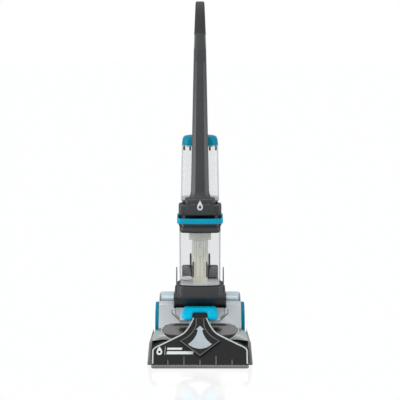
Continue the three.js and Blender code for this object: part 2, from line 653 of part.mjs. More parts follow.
// Side view of the loop grip, with the hole for the fingers.
function loopOutline() {
  const start = BEAM.top + GAP;
  const lean = leanOffset(start);
  const shape = new THREE.Shape();
  shape.moveTo(BEAM.front + lean, start);
  shape.lineTo(BEAM.back + lean, start);
  shape.bezierCurveTo(108, 940, 146, 978, 160, 1024);
  shape.bezierCurveTo(REAR_Y, 1044, REAR_Y, 1066, REAR_Y, 1072);
  shape.bezierCurveTo(REAR_Y, 1098, 146, HEIGHT, 122, HEIGHT);
  shape.bezierCurveTo(94, HEIGHT, 82, 1094, 75, 1068);
  const hole = new THREE.Path();
  hole.moveTo(86, 972);
  hole.bezierCurveTo(78, 984, 86, 1030, 96, 1060);
  hole.bezierCurveTo(102, 1078, 110, 1086, 122, 1086);
  hole.bezierCurveTo(136, 1086, 140, 1078, 140, 1066);
  hole.bezierCurveTo(140, 1034, 120, 984, 100, 968);
  hole.bezierCurveTo(95, 964, 90, 966, 86, 972);
  shape.holes.push(hole);
  return shape;
}

// The loop, or the same loop drawn in by inset all over.
function loopSolid(inset = 0) {
  const bevel = 5;
  const half = handleHalf(BEAM.top) - inset;
  const settings = {
    bevelEnabled: true,
    bevelThickness: bevel,
    bevelSize: bevel,
    bevelOffset: -bevel - inset,
    bevelSegments: 1,
    curveSegments: 5,
  };
  const slab = sideSlab(loopOutline(), -half + bevel, half - bevel, settings);
  return solidOf(reshape(slab, (point) => {
    point.x *= (handleHalf(point.z) - inset) / half;
  }));
}

// The part of the loop that the hand holds.
const gripRegion = (grow) =>
  solidOf(sideSlab(outline([[20, 1016 - grow], [190, 996 - grow], [190, 1200], [20, 1200]]), -40, 40));

const TRIGGER_PIVOT = { y: 132, z: 1066 };
const triggerRoom = () => cylinder("x", 9, -9, 9, TRIGGER_PIVOT, 14);

function handleLoop() {
  const outer = without(loopSolid(), gripRegion(GAP));
  const spigot = solidOf(reshape(
    column(roundedPlan(12, -16, 1, 4), BEAM.top - 40, BEAM.top + 20),
    (point) => {
      point.y += leanOffset(point.z);
    },
  ));
  return without(union(outer, loopSolid(3.5), spigot), triggerRoom());
}

const gripPad = () => without(loopSolid().intersect(gripRegion(0)), loopSolid(3.5 - GAP), triggerRoom());

function cordHook(turnedUp) {
  const stem = cylinder("y", 6, 0, 22, {}, 14);
  const plateUp = box(-9, 9, 18, 23, -8, 26);
  const hook = union(stem, plateUp);
  return turnedUp ? hook : hook.rotate([0, 180, 0]);
}

const body = group(machine);
add(body, "body_housing", BLACK, bodyHousing());
add(body, "exhaust_grille", BLACK, exhaustGrille());
add(body, "vac_motor", MOTOR_METAL, cylinder("z", 29, 114, 232, { y: 69 }));
add(body, "tank_cradle", GRAPHITE, tankCradle());
add(body, "spine", MILKY, spine());
add(body, "collar", GRAPHITE, collar());
add(body, "handle_beam", GRAPHITE, handleBeam());
add(body, "handle_loop", GRAPHITE, handleLoop());
add(body, "grip_pad", SOFT_TOUCH, gripPad());
for (const { name, sign } of SIDES) {
  add(body, `pivot_pin_${name}`, STEEL, cylinder("x", PIN_RADIUS, ...span(sign, 60, 104), PIVOT, 16));
}
add(body, "vac_fan", BLACK, cylinder("z", 28, 236, 262, { y: 69 }));

const gland = group(body, 0, BEAM.back + leanOffset(905) + 1, 905);
gland.rotation.x = -LEAN;
const sleeve = cylinder("y", 9, 0, 16, {}, 14, 6);
add(gland, "cord_gland", RUBBER, without(sleeve, cylinder("y", 3.6, 2, 18, {}, 12)));

const lowerHook = group(body, 0, 104 + GAP, 197.5);
const upperHook = group(body, 0, BEAM.back + leanOffset(850) + 1, 850);
upperHook.rotation.x = -LEAN;
add(lowerHook, "cord_hook_lower", GRAPHITE, cordHook(false));
add(upperHook, "cord_hook_upper", GRAPHITE, cordHook(true));

const trigger = group(body);
const triggerBlade = solidOf(sideSlab(
  outline([
    [128, 1072], [121, 1064], [114, 1034], [104, 1000], [109, 998], [119, 1018], [127, 1044], [136, 1062],
  ]),
  -8, 8,
));
add(trigger, "trigger", TEAL, union(triggerBlade, cylinder("x", 7, -8, 8, TRIGGER_PIVOT, 14)));

// --- Dirty-water tank -------------------------------------------------------------------------------

const tankPlan = (inset) =>
  roundedPlan(TANK.half - inset, TANK.front + inset, TANK.back - inset, 16 - inset, 5);

function tankBase() {
  const plan = roundedPlan(72.5, -62, 28.8, 24, 5);
  const body = solidOf(column(plan, PLATFORM_TOP + GAP, TANK.bottom - GAP));
  const hollow = solidOf(column(roundedPlan(69, -58, 25, 21, 5), PLATFORM_TOP, TANK.bottom - 5));
  return without(body, hollow);
}

function tankLid() {
  const rim = solidOf(column(tankPlan(0), TANK.top + GAP, 420));
  const top = solidOf(column(roundedPlan(60, -46, 24, 13, 4), 420, 434));
  const ears = SIDES.map(({ sign }) => box(...span(sign, 56, 66.9), -16, 0, 419, 453));
  const pins = cylinder("x", 3.5, -72, 72, BAIL_PIVOT, 12);
  const pinsMiddle = cylinder("x", 5, -58, 58, BAIL_PIVOT, 12);
  return union(rim, top, ...ears, without(pins, pinsMiddle));
}

// A hood under the lid that turns the incoming water down into the stack.
function lidDuct() {
  const duct = solidOf(column(roundedPlan(35, -17, 16, 4), 373, TANK.top));
  return without(duct, solidOf(column(roundedPlan(32.5, -14.5, 13.5, 3), 372, TANK.top - 4)));
}

function lidSeal() {
  const outer = solidOf(column(tankPlan(2.5 + GAP), TANK.top - 5, TANK.top));
  return without(outer, solidOf(column(tankPlan(6), TANK.top - 6, TANK.top + 1)));
}

const dirtyTank = group(machine);
const tankWall = 2.5;
add(dirtyTank, "dirty_tank_shell", CLEAR, cup(tankPlan(0), tankPlan(tankWall), TANK.bottom, TANK.top, 3));
add(dirtyTank, "dirty_tank_base", GRAPHITE, tankBase());
const stackPlan = roundedPlan(24, -18, 14, 5);
const stack = without(
  solidOf(column(stackPlan, TANK.bottom + 3 + GAP, 373 - GAP)),
  solidOf(column(roundedPlan(21.8, -15.8, 11.8, 3.5), TANK.bottom, 380)),
);
add(dirtyTank, "stack_tube", MILKY, stack);
const port = cylinder("z", 18.5, TANK.bottom + 3 + GAP, 252, DRAIN);
add(dirtyTank, "drain_cap", CLEAR, without(port, cylinder("z", 13, 246, 253, DRAIN)));
add(dirtyTank, "tank_lid", GRAPHITE, tankLid());
add(dirtyTank, "lid_duct", MILKY, lidDuct());
add(dirtyTank, "lid_seal", RUBBER, lidSeal());
add(dirtyTank, "float", MILKY, box(-10, 10, -26, -18.6, 322, 348));

// The carrying handle: a bar across the front and an arm down each side of the lid.
function bail() {
  const bar = solidOf(column(roundedPlan(71.4, -66, -10, 14, 2), 434.5, 450.5));
  const barRoom = solidOf(column(roundedPlan(67.4, -61, 0, 10, 2), 430, 455));
  const behind = box(-80, 80, -46, 0, 430, 455);
  const armShape = outline([
    [-48, 434.5], [-48, 450.5], [-14, 456], [-2, 455], [0, 447], [-4, 437.5], [-16, 436],
  ]);
  const arms = SIDES.map(({ sign }) => solidOf(sideSlab(armShape, ...span(sign, 67.4, 71.4))));
  const eyes = cylinder("x", 3.8, -80, 80, BAIL_PIVOT, 12);
  return without(union(without(bar, barRoom, behind), ...arms), eyes);
}
const carry = group(machine);
add(carry, "carry_handle", TEAL, bail());

// --- Clean-water tank -------------------------------------------------------------------------------

// The clean tank's front wall follows the leaning handle and its back wall is nearly upright.
function cleanShape(inset) {
  const plan = roundedPlan(1, -1, 1, 0.46);
  const floor = inset > 0 ? CLEAN.bottom + WALL : CLEAN.bottom + GAP;
  const top = inset > 0 ? CLEAN.top + 1 : CLEAN.top;
  return solidOf(reshape(column(plan, floor, top, 1), (point) => {
    const share = (point.z - CLEAN.bottom) / (CLEAN.top - CLEAN.bottom);
    const front = 14 + 30 * share + inset;
    const back = 104 + 4 * share - inset;
    point.x *= 61 - 3.5 * share - inset;
    point.y = (front + back) / 2 + (point.y * (back - front)) / 2;
  }));
}

function cleanCap() {
  const plan = roundedPlan(57, 45, 108, 27);
  const height = CLEAN.capTop - CLEAN.top;
  const round = (point) => {
    const share = (point.z - CLEAN.top) / height;
    const draw = 1 - 0.16 * share * share;
    point.x *= draw;
    point.y = 78 + (point.y - 78) * draw;
  };
  const shell = solidOf(reshape(column(plan, CLEAN.top + GAP, CLEAN.capTop, 2), round));
  const innerPlan = roundedPlan(53, 49, 104, 23);
  const room = solidOf(reshape(column(innerPlan, CLEAN.top - 1, CLEAN.capTop - 4), round));
  return without(shell, room);
}

const cleanTank = group(machine);
add(cleanTank, "clean_tank_shell", CLEAR, without(cleanShape(0), cleanShape(2.5)));
const valve = cylinder("z", 9, COLLAR.top - 6, CLEAN.bottom, { y: 60 }, 16);
add(cleanTank, "clean_tank_valve", BLACK, valve);
add(cleanTank, "clean_tank_cap", TEAL, cleanCap());

export default machine;
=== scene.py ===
"""Looks of the upright carpet cleaner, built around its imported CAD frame.

Lengths are in millimetres and turned to metres when a mesh is made. X runs across, -Y is the front, Z is up.
"""

import json
import math

import bmesh
import bpy
from mathutils import Matrix, Vector


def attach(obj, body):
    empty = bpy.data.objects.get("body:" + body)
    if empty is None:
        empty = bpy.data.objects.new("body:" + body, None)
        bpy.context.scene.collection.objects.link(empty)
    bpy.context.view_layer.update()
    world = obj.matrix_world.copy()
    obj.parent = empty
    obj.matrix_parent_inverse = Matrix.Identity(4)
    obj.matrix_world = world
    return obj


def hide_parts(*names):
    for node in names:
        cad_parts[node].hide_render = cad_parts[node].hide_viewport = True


MM = 0.001

# Camera, at the height of a standing viewer's chest
CAMERA_AT = (0.0, -3300.0, 1150.0)
CAMERA_PITCH = 11.18  # degrees below the horizon
CAMERA_LENS = 96.35

# Sloping front: one plane from the lip to the top of the release latch
SLOPE_FOOT = Vector((0, -163, 12))
SLOPE_ANGLE = math.radians(48.4)
COVER_HALF = 148.8

# Rounded shoulders of the head: (height, half width) pairs, which hold as far back as the crest and then fall
SHOULDER = ((0, 164.1), (50, 162), (60, 160.3), (70, 157), (78.5, 151.5), (86, 145), (92, 138), (98, 126))
CREST_Y = -60
CREST_RUN = 3  # behind the crest the shoulders fall 1 for each 3 backwards
HOOD_FOOT = 72.3
CAP_INNER = 149.3
CAP_OUTER = 164.1

# Upright body
COLLAR = {"half": 67, "front": -40, "back": 104, "bottom": 456, "top": 488}
BEAM = {"bottom": 488.3, "top": 930, "front": -24, "back": 8, "depth": 32, "lean": math.radians(9.3)}
HANDLE_HALF = 29  # at the collar
HANDLE_TAPER = 13  # taken off that half width by the top
GRIP_TAPER = 2.2  # and this much more along the soft grip
FLARE_TOP = 530  # the handle widens below this height
FLARE_DEPTH = 15.6
FLARE_HALF = 11
GRIP_FROM = 1014  # the soft grip starts at this height
HEIGHT = 1110

# Tanks
TANK = {"half": 64.3, "front": -58, "back": 26, "bottom": 231.5, "top": 408, "wall": 2.5}
CLEAN = {"bottom": 488.3, "top": 664, "wall": 2.5}

# Wheels, and the pivot that the body reclines on
PIVOT = (62, 128)
WHEEL = {"y": 82, "z": 70, "well": 74}
DRUM_HALF = 82

# Studio, in metres and watts
ROOM_LIGHT = 0.42
FLOOR_REACH = 14
FLOOR_LIGHT = 0.55
FLOOR_GLOW = 1.39  # what the floor shows the camera, above the light that it gives the room
FLOOR_SHINE = 0.37
LAMPS = (
    # name, place, aimed at, width, height, power
    ("left_box", (-2.1, -0.9, 1.1), (0, 0, 0.6), 0.9, 2.2, 34),
    ("right_box", (2.2, -0.8, 1.1), (0, 0, 0.6), 0.7, 2.2, 22),
    ("front_box", (-0.9, -2.9, 2.7), (0, 0, 0.3), 1.0, 0.6, 14),
    ("top_box", (0, 0.3, 2.8), (0, 0, 0.3), 2.2, 1.2, 26),
)

SIDES = (("left", -1), ("right", 1))

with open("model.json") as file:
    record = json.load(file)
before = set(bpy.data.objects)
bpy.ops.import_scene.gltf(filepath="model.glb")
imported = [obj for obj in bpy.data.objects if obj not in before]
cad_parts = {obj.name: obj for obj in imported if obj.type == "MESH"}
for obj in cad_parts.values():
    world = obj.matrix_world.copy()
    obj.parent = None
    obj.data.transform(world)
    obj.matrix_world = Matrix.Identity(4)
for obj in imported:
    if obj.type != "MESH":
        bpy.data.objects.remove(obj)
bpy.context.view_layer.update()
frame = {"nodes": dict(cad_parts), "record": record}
scene = bpy.context.scene
looks = {}


# --- Materials ------------------------------------------------------------------------------------


class Shader:
    """A node material under construction, with its Principled surface."""

    def __init__(self, name):
        self.material = bpy.data.materials.new(name)
        self.material.use_nodes = True
        self.tree = self.material.node_tree
        self.surface = self.tree.nodes["Principled BSDF"]
        self.output = self.tree.nodes["Material Output"]
        self.place = self.node("ShaderNodeTexCoord").outputs["Object"]

    def node(self, kind, **inputs):
        made = self.tree.nodes.new(kind)
        for name, value in inputs.items():
            self.feed(value, made.inputs[name.replace("_", " ")])
        return made

    def feed(self, value, socket):
        if isinstance(value, bpy.types.NodeSocket):
            self.tree.links.new(value, socket)
        else:
            socket.default_value = value

    def noise(self, scale, detail=3.0, stretch=(1, 1, 1)):
        spread = self.node("ShaderNodeMapping", Vector=self.place, Scale=stretch)
        made = self.node("ShaderNodeTexNoise", Vector=spread.outputs[0], Scale=scale, Detail=detail)
        return made.outputs[0]

    def between(self, value, low_end, high_end, start=0.3, end=0.7):
        made = self.node("ShaderNodeMapRange", Value=value)
        made.inputs["From Min"].default_value = start
        made.inputs["From Max"].default_value = end
        made.inputs["To Min"].default_value = low_end
        made.inputs["To Max"].default_value = high_end
        return made.outputs[0]

    def mix(self, share, first, second):
        made = self.tree.nodes.new("ShaderNodeMix")
        made.data_type = "RGBA"
        self.feed(share, made.inputs[0])
        self.feed(first, made.inputs[6])
        self.feed(second, made.inputs[7])
        return made.outputs[2]

    def bump(self, height, strength, distance=0.0004):
        made = self.node("ShaderNodeBump", Height=height, Strength=strength, Distance=distance)
        self.feed(made.outputs[0], self.surface.inputs["Normal"])


def rgb(red, green, blue):
    """A colour given as 0-255 display values, in linear light."""

    def linear(value):
        share = value / 255
        return share / 12.92 if share <= 0.04045 else ((share + 0.055) / 1.055) ** 2.4

    return (linear(red), linear(green), linear(blue), 1.0)


def moulded(name, colour, roughness, grain=900.0, bump=0.06, coat=0.0, metallic=0.0, spread=0.12, shine=0.5):
    """A moulded or painted surface with a faint cloudiness and a fine grain."""
    made = Shader(name)
    cloud = made.noise(14.0)
    fine = made.noise(grain, detail=2.0)
    dark = tuple(channel * (1 - spread) for channel in colour[:3]) + (1.0,)
    light = tuple(min(1.0, channel * (1 + spread)) for channel in colour[:3]) + (1.0,)
    made.feed(made.mix(made.between(cloud, 0, 1), dark, light), made.surface.inputs["Base Color"])
    rough = made.between(fine, roughness * 0.85, min(1.0, roughness * 1.15))
    made.feed(rough, made.surface.inputs["Roughness"])
    made.surface.inputs["Metallic"].default_value = metallic
    made.surface.inputs["Coat Weight"].default_value = coat
    made.surface.inputs["Coat Roughness"].default_value = 0.06
    made.surface.inputs["Specular IOR Level"].default_value = shine
    made.bump(fine, bump)
    looks[name] = made.material
    return made


def see_through(name, tint, edge, haze, rim):
    """Clear moulded plastic: lets light straight through, is slightly milky, and darkens at the edges, where
    a grey surface is mixed in as painted shade in place of the darkening that refraction gives a clear wall
    seen edge-on.
    """
    made = Shader(name)
    made.surface.inputs["Base Color"].default_value = edge
    ripple = made.noise(30.0)
    made.feed(made.between(ripple, 0.04, 0.1), made.surface.inputs["Roughness"])
    made.bump(ripple, 0.02, 0.0006)
    through = made.node("ShaderNodeBsdfTransparent", Color=tint)
    glance = made.node("ShaderNodeLayerWeight", Blend=0.3)
    share = made.between(glance.outputs["Facing"], haze, rim, 0.3, 1.0)
    blend = made.node("ShaderNodeMixShader", Fac=share)
    made.feed(through.outputs[0], blend.inputs[1])
    made.feed(made.surface.outputs[0], blend.inputs[2])
    made.feed(blend.outputs[0], made.output.inputs["Surface"])
    looks[name] = made.material
    return made


def make_materials():
    moulded("graphite_plastic", rgb(62, 63, 64), 0.4)
    moulded("black_plastic", rgb(31, 32, 30), 0.38)
    moulded("smoked_plastic", rgb(30, 29, 28), 0.17, grain=300.0, bump=0.01, coat=0.3)
    paint = rgb(190, 196, 199)
    # The silver paint's tone follows its tilt: painted shade where it faces down, painted reflection where it
    # faces up.
    silver = moulded("silver_paint", paint, 0.3, grain=2500.0, bump=0.03, coat=0.3, metallic=0.35)
    paint_light_and_shade_by_tilt(silver, rgb(96, 104, 108), rgb(204, 209, 212), rgb(228, 238, 242))
    # The pivot barrels' silver: dark lower side as painted shade, pale top as painted reflection.
    barrel = moulded("barrel_silver_painted_shading", paint, 0.3, grain=2500.0, bump=0.03, metallic=0.2)
    paint_light_and_shade_by_tilt(barrel, rgb(52, 62, 66), rgb(170, 182, 188), rgb(218, 240, 248), (0.48, 0.78, 0.8))
    # Smoked end caps and hood: paler top as painted reflection, darker underside as painted shade.
    caps = moulded("cap_smoke", rgb(80, 81, 78), 0.2, grain=300.0, bump=0.01, coat=0.2)
    paint_light_and_shade_by_tilt(caps, rgb(60, 60, 57), rgb(116, 118, 114), rgb(172, 184, 180), (-0.3, 0.4, 0.5))
    moulded("silver_trim", rgb(212, 217, 216), 0.25, grain=2500.0, bump=0.02, coat=0.3, metallic=0.3,
            spread=0.03)
    moulded("teal_plastic", rgb(0, 163, 200), 0.32, grain=400.0, bump=0.01, spread=0.06, shine=0.2)
    # A darker copy of the teal plastic, as painted shade, for the wheels and the clean cap.
    moulded("deep_teal", rgb(0, 138, 166), 0.36, grain=400.0, bump=0.01, spread=0.06, shine=0.15)
    # A brighter copy of the teal plastic, as painted light, for the latch that sits in the body's shade.
    moulded("bright_teal", rgb(0, 198, 238), 0.3, grain=400.0, bump=0.01, spread=0.06, shine=0.2)
    # The grey (0.3, 0.32, 0.33) is the painted edge shade of the clear plastic.
    see_through("clear_plastic", (0.972, 0.976, 0.977, 1), (0.3, 0.32, 0.33, 1), 0.05, 0.9)
    make_milky()
    moulded("grey_plastic", rgb(132, 132, 131), 0.4)
    moulded("black_rubber", rgb(28, 28, 28), 0.75, grain=600.0, bump=0.2)
    moulded("tyre_rubber", rgb(24, 24, 24), 0.8, grain=500.0, bump=0.3)
    moulded("soft_grip", rgb(52, 52, 52), 0.75, grain=700.0, bump=0.5)
    moulded("bristle", rgb(28, 28, 30), 0.6, grain=1200.0, bump=0.6)
    moulded("steel", rgb(190, 190, 190), 0.28, grain=900.0, metallic=1.0, spread=0.04)
    moulded("motor_can", rgb(150, 152, 154), 0.35, grain=900.0, metallic=0.9, spread=0.05)


def paint_light_and_shade_by_tilt(made, under, slope, top, turn=(-0.3, 0.5, 0.7)):
    """Paints light and shade into the colour by how a surface tilts: darker where it faces down, as painted
    shade, and paler where it faces up, as a painted reflection of the bright room above.
    """
    dark_to, slope_from, pale_from = turn
    normal = made.node("ShaderNodeNewGeometry").outputs["Normal"]
    tilt = made.node("ShaderNodeSeparateXYZ", Vector=normal).outputs["Z"]
    lower = made.mix(made.between(tilt, 0, 1, dark_to, slope_from), under, slope)
    upper = made.mix(made.between(tilt, 0, 1, pale_from, 1.0), lower, top)
    made.feed(upper, made.surface.inputs["Base Color"])


def make_milky():
    """Milky plastic that is cream low down and greyer higher up, lets a little light through, and has a faint
    painted glow.
    """
    made = moulded("cream_plastic", rgb(190, 190, 178), 0.3, grain=300.0, bump=0.02, spread=0.05)
    height = made.node("ShaderNodeSeparateXYZ", Vector=made.place).outputs["Z"]
    wave = made.noise(25.0, stretch=(1, 1, 0.15))
    low_tone = made.mix(made.between(wave, 0, 1), rgb(228, 225, 200), rgb(242, 240, 224))
    high_tone = made.mix(made.between(wave, 0, 1), rgb(206, 207, 202), rgb(226, 227, 222))
    share = made.between(height, 0, 1, 0.29, 0.36)
    made.feed(made.mix(share, low_tone, high_tone), made.surface.inputs["Base Color"])
    made.surface.inputs["Alpha"].default_value = 0.8
    # Painted glow: a faint emission standing in for light carried inside the milky plastic.
    made.surface.inputs["Emission Color"].default_value = rgb(250, 248, 236)
    made.surface.inputs["Emission Strength"].default_value = 0.1


def plain_look(name, colour, roughness=0.35, metallic=0.0, spread=0.02):
    """A look outside the record's slots, for print, inlays and small fittings."""
    made = moulded(name, colour, roughness, grain=800.0, bump=0.01, metallic=metallic, spread=spread)
    return made.material


# --- Outlines, drawn flat in millimetres ----------------------------------------------------------


def fillet(points, steps=6):
    """A closed outline whose corners are rounded. Each point is (x, y) or (x, y, radius)."""
    made = []
    count = len(points)
    for i, point in enumerate(points):
        here = Vector(point[:2])
        radius = point[2] if len(point) > 2 else 0
        if radius <= 0:
            made.append(tuple(here))
            continue
        before = Vector(points[i - 1][:2]) - here
        after = Vector(points[(i + 1) % count][:2]) - here
        angle = before.angle(after)
        reach = min(radius / math.tan(angle / 2), before.length * 0.49, after.length * 0.49)
        start = here + before.normalized() * reach
        end = here + after.normalized() * reach
        for step in range(steps + 1):
            share = step / steps
            curve = start * (1 - share) ** 2 + here * 2 * share * (1 - share) + end * share**2
            made.append(tuple(curve))
    return made


def bend(start, *controls, steps=12):
    """Points along a quadratic or cubic curve from start, without start itself."""
    made = []
    handles = [Vector(start)] + [Vector(c) for c in controls]
    for step in range(1, steps + 1):
        level = handles
        share = step / steps
        while len(level) > 1:
            level = [a.lerp(b, share) for a, b in zip(level, level[1:])]
        made.append(tuple(level[0]))
    return made


def one_side(points, sign):
    """A rounded outline drawn on the right, on the side that sign gives, turning the same way on both."""
    outline = fillet([(sign * x, y, radius) for x, y, radius in points])
    return outline if sign > 0 else outline[::-1]


def span(sign, inner, outer):
    """The two ends of a range that runs outwards from the middle, on the side that sign gives."""
    return (inner, outer) if sign > 0 else (-outer, -inner)


def circle(centre, radius, count=20):
    """Points round a circle."""
    angles = [2 * math.pi * k / count for k in range(count)]
    return [(centre[0] + radius * math.cos(a), centre[1] + radius * math.sin(a)) for a in angles]


def mirrored(points):
    """A right-hand edge, listed upwards, completed with its mirror image."""
    return list(points) + [(-x, y) for x, y in reversed(points) if abs(x) > 1e-6]


def ribbon(line, width):
    """The closed outline of a strip of that width along an open line."""
    left, right = [], []
    for i, point in enumerate(line):
        ahead = Vector(line[min(i + 1, len(line) - 1)]) - Vector(line[max(i - 1, 0)])
        side = Vector((-ahead.y, ahead.x)).normalized() * (width / 2)
        left.append(tuple(Vector(point) + side))
        right.append(tuple(Vector(point) - side))
    return left + right[::-1]


def rounded_plan(half, front, back, corner, bow=0, steps=8):
    """A plan-view rectangle with round corners whose front side bows out."""
    made = []
    side = half - corner

    def arc(x, y, start):
        for step in range(steps + 1):
            angle = math.radians(start + 90 * step / steps)
            made.append((x + corner * math.cos(angle), y + corner * math.sin(angle)))

    arc(side, back - corner, 0)
    arc(-side, back - corner, 90)
    arc(-side, front + bow + corner, 180)
    if bow:
        made.extend(bend((-side, front + bow), (0, front - bow), (side, front + bow), steps=steps * 2)[:-1])
    arc(side, front + bow + corner, 270)
    return made


# --- Meshes ---------------------------------------------------------------------------------------

SIDE_VIEW = Matrix(((0, 0, 1, 0), (1, 0, 0, 0), (0, 1, 0, 0), (0, 0, 0, 1)))
FRONT_VIEW = Matrix(((1, 0, 0, 0), (0, 0, -1, 0), (0, 1, 0, 0), (0, 0, 0, 1)))
ON_SLOPE = Matrix.Translation(SLOPE_FOOT) @ Matrix.Rotation(SLOPE_ANGLE, 4, "X")


def add(name, points, faces, look, body, replaced=(), sharp=35):
    """One shown piece that moves with a CAD body. look is a slot's name, or a material."""
    mesh = bpy.data.meshes.new(name)
    mesh.from_pydata([Vector(p) * MM for p in points], [], faces)
    return place(name, mesh, look, body, replaced, sharp)


def place(name, mesh, look, body, replaced=(), sharp=35):
    mesh.validate()
    turn_faces_out(mesh)
    mesh.materials.clear()
    mesh.materials.append(looks[look] if isinstance(look, str) else look)
    mesh.polygons.foreach_set("use_smooth", [True] * len(mesh.polygons))
    mesh.set_sharp_from_angle(angle=math.radians(sharp))
    made = bpy.data.objects.new(name, mesh)
    scene.collection.objects.link(made)
    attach(made, body)
    if replaced:
        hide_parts(*replaced)
    return made


def turn_faces_out(mesh):
    shape = bmesh.new()
    shape.from_mesh(mesh)
    bmesh.ops.recalc_face_normals(shape, faces=shape.faces)
    shape.to_mesh(mesh)
    shape.free()


def carve(piece, points, faces):
    """Cuts a solid, given in millimetres, out of a piece."""
    mesh = bpy.data.meshes.new("cutter")
    mesh.from_pydata([Vector(p) * MM for p in points], [], faces)
    turn_faces_out(mesh)
    cutter = bpy.data.objects.new("cutter", mesh)
    scene.collection.objects.link(cutter)
    cut = piece.modifiers.new("cut", "BOOLEAN")
    cut.object = cutter
    cut.solver = "EXACT"
    bpy.context.view_layer.update()
    made = bpy.data.meshes.new_from_object(piece.evaluated_get(bpy.context.evaluated_depsgraph_get()))
    piece.modifiers.remove(cut)
    piece.data = made
    made.set_sharp_from_angle(angle=math.radians(35))
    bpy.data.objects.remove(cutter)


def plate(name, outlines, z0, z1, look, body, frame_matrix=None, edge=0.8, replaced=(), warp=None):
    """Outlines, the first the outside and the rest holes, made solid from z0 to z1 with rounded edges."""
    curve = bpy.data.curves.new(name, "CURVE")
    curve.dimensions = "2D"
    curve.fill_mode = "BOTH"
    curve.extrude = max(0.0, (z1 - z0) / 2 - edge)
    curve.bevel_depth = edge
    curve.bevel_resolution = 3
    curve.offset = -edge
    for outline in outlines:
        spline = curve.splines.new("POLY")
        spline.points.add(len(outline) - 1)
        spline.use_cyclic_u = True
        for i, (x, y) in enumerate(outline):
            spline.points[i].co = (x, y, 0, 1)
    holder = bpy.data.objects.new(name + "_curve", curve)
    scene.collection.objects.link(holder)
    bpy.context.view_layer.update()
    mesh = bpy.data.meshes.new_from_object(holder.evaluated_get(bpy.context.evaluated_depsgraph_get()))
    bpy.data.objects.remove(holder)
    bpy.data.curves.remove(curve)
    mesh.name = name
    mesh.transform(Matrix.Translation((0, 0, (z0 + z1) / 2)))
    if warp:
        for vertex in mesh.vertices:
            vertex.co = warp(vertex.co.copy())
    mesh.transform(frame_matrix or Matrix.Identity(4))
    mesh.transform(Matrix.Scale(MM, 4))
    return place(name, mesh, look, body, replaced)


def loft(rings, close=True):
    """Points and faces of a skin over rings of equal length, capped at both ends."""
    points = [p for ring in rings for p in ring]
    count = len(rings[0])
    faces = []
    for r in range(len(rings) - 1):
        for i in range(count):
            j = (i + 1) % count
            faces.append((r * count + i, r * count + j, (r + 1) * count + j, (r + 1) * count + i))
    if close:
        faces.append(tuple(reversed(range(count))))
        faces.append(tuple(range((len(rings) - 1) * count, len(rings) * count)))
    return points, faces


def edge_profile(z0, z1, radius, top_radius=None):
    """(inset, height) pairs up a wall whose bottom and top edges are rounded."""
    steps = 4
    top_radius = radius if top_radius is None else top_radius
    made = []
    for step in range(steps + 1):
        angle = math.pi / 2 * step / steps
        made.append((radius * (1 - math.sin(angle)), z0 + radius * (1 - math.cos(angle))))
    for step in range(steps + 1):
        angle = math.pi / 2 * step / steps
        made.append((top_radius * (1 - math.cos(angle)), z1 - top_radius * (1 - math.sin(angle))))
    return made


def column(name, plan, z0, z1, look, body, edge=1.5, top_edge=None, warp=None, replaced=()):
    """A plan given as (half, front, back, corner, bow) raised into a block with rounded edges."""
    half, front, back, corner, bow = plan
    rings = []
    for inset, z in edge_profile(z0, z1, edge, top_edge):
        ring = rounded_plan(half - inset, front + inset, back - inset, max(0.5, corner - inset), bow)
        rings.append([(x, y, z) for x, y in ring])
    if warp:
        rings = [[warp(Vector(p)) for p in ring] for ring in rings]
    return add(name, *loft(rings), look, body, replaced)


def open_cup(plan, z0, z1, wall, floor):
    """Rings of a cup: up the outside, over the rim and down the inside."""
    half, front, back, corner, bow = plan

    def ring(inset, z):
        shape = rounded_plan(half - inset, front + inset, back - inset, max(0.5, corner - inset), bow)
        return [(x, y, z) for x, y in shape]

    outside = [ring(2, z0), ring(0.6, z0 + 0.6), ring(0, z0 + 2), ring(0, z1 - 0.6), ring(0.3, z1)]
    inside = [ring(wall - 0.3, z1), ring(wall, z1 - 0.6)]
    inside += [ring(wall, z0 + floor + 2), ring(wall + 2, z0 + floor)]
    return outside + inside


def lathe(name, profile, axis_x, centre, look, body, segments=72, replaced=(), pattern=None):
    """A profile of (radius, x) points turned about an axis parallel to X. A closed profile makes a ring."""
    rings = []
    for step in range(segments):
        angle = 2 * math.pi * step / segments
        ring = []
        for radius, x in profile:
            reach = radius if pattern is None else pattern(radius, x, angle)
            y = centre[0] + reach * math.cos(angle)
            z = centre[1] + reach * math.sin(angle)
            ring.append((axis_x * x, y, z))
        rings.append(ring)
    rings.append(rings[0])
    points, faces = loft(rings, close=False)
    return add(name, points, faces, look, body, replaced)


def tube(name, line, radius, look, body, sides=12):
    """A round bar through a list of points."""
    rings = []
    for i, point in enumerate(line):
        ahead = (Vector(line[min(i + 1, len(line) - 1)]) - Vector(line[max(i - 1, 0)])).normalized()
        across = ahead.orthogonal() if i == 0 else across - ahead * across.dot(ahead)
        across.normalize()
        up = ahead.cross(across)
        turn = [2 * math.pi * k / sides for k in range(sides)]
        middle = Vector(point)
        rings.append([middle + across * radius * math.cos(a) + up * radius * math.sin(a) for a in turn])
    return add(name, *loft(rings), look, body)


def finish_cad(node, edge=0.6):
    """A CAD node that is shown: its slot's material, welded, with rounded edges."""
    piece = frame["nodes"][node]
    slot_name = slot_of[node]
    piece.data.materials.clear()
    piece.data.materials.append(looks[slot_name])
    piece.data.polygons.foreach_set("use_smooth", [True] * len(piece.data.polygons))
    weld = piece.modifiers.new("weld", "WELD")
    weld.merge_threshold = 0.00002
    bevel = piece.modifiers.new("edges", "BEVEL")
    bevel.width = edge * MM
    bevel.segments = 3
    bevel.limit_method = "ANGLE"
    bevel.angle_limit = math.radians(28)
    bevel.use_clamp_overlap = True
    bevel.harden_normals = True


slot_of = {entry["node"]: entry["material_slot"] for entry in frame["record"]["subparts"]}


# --- Nozzle ---------------------------------------------------------------------------------------


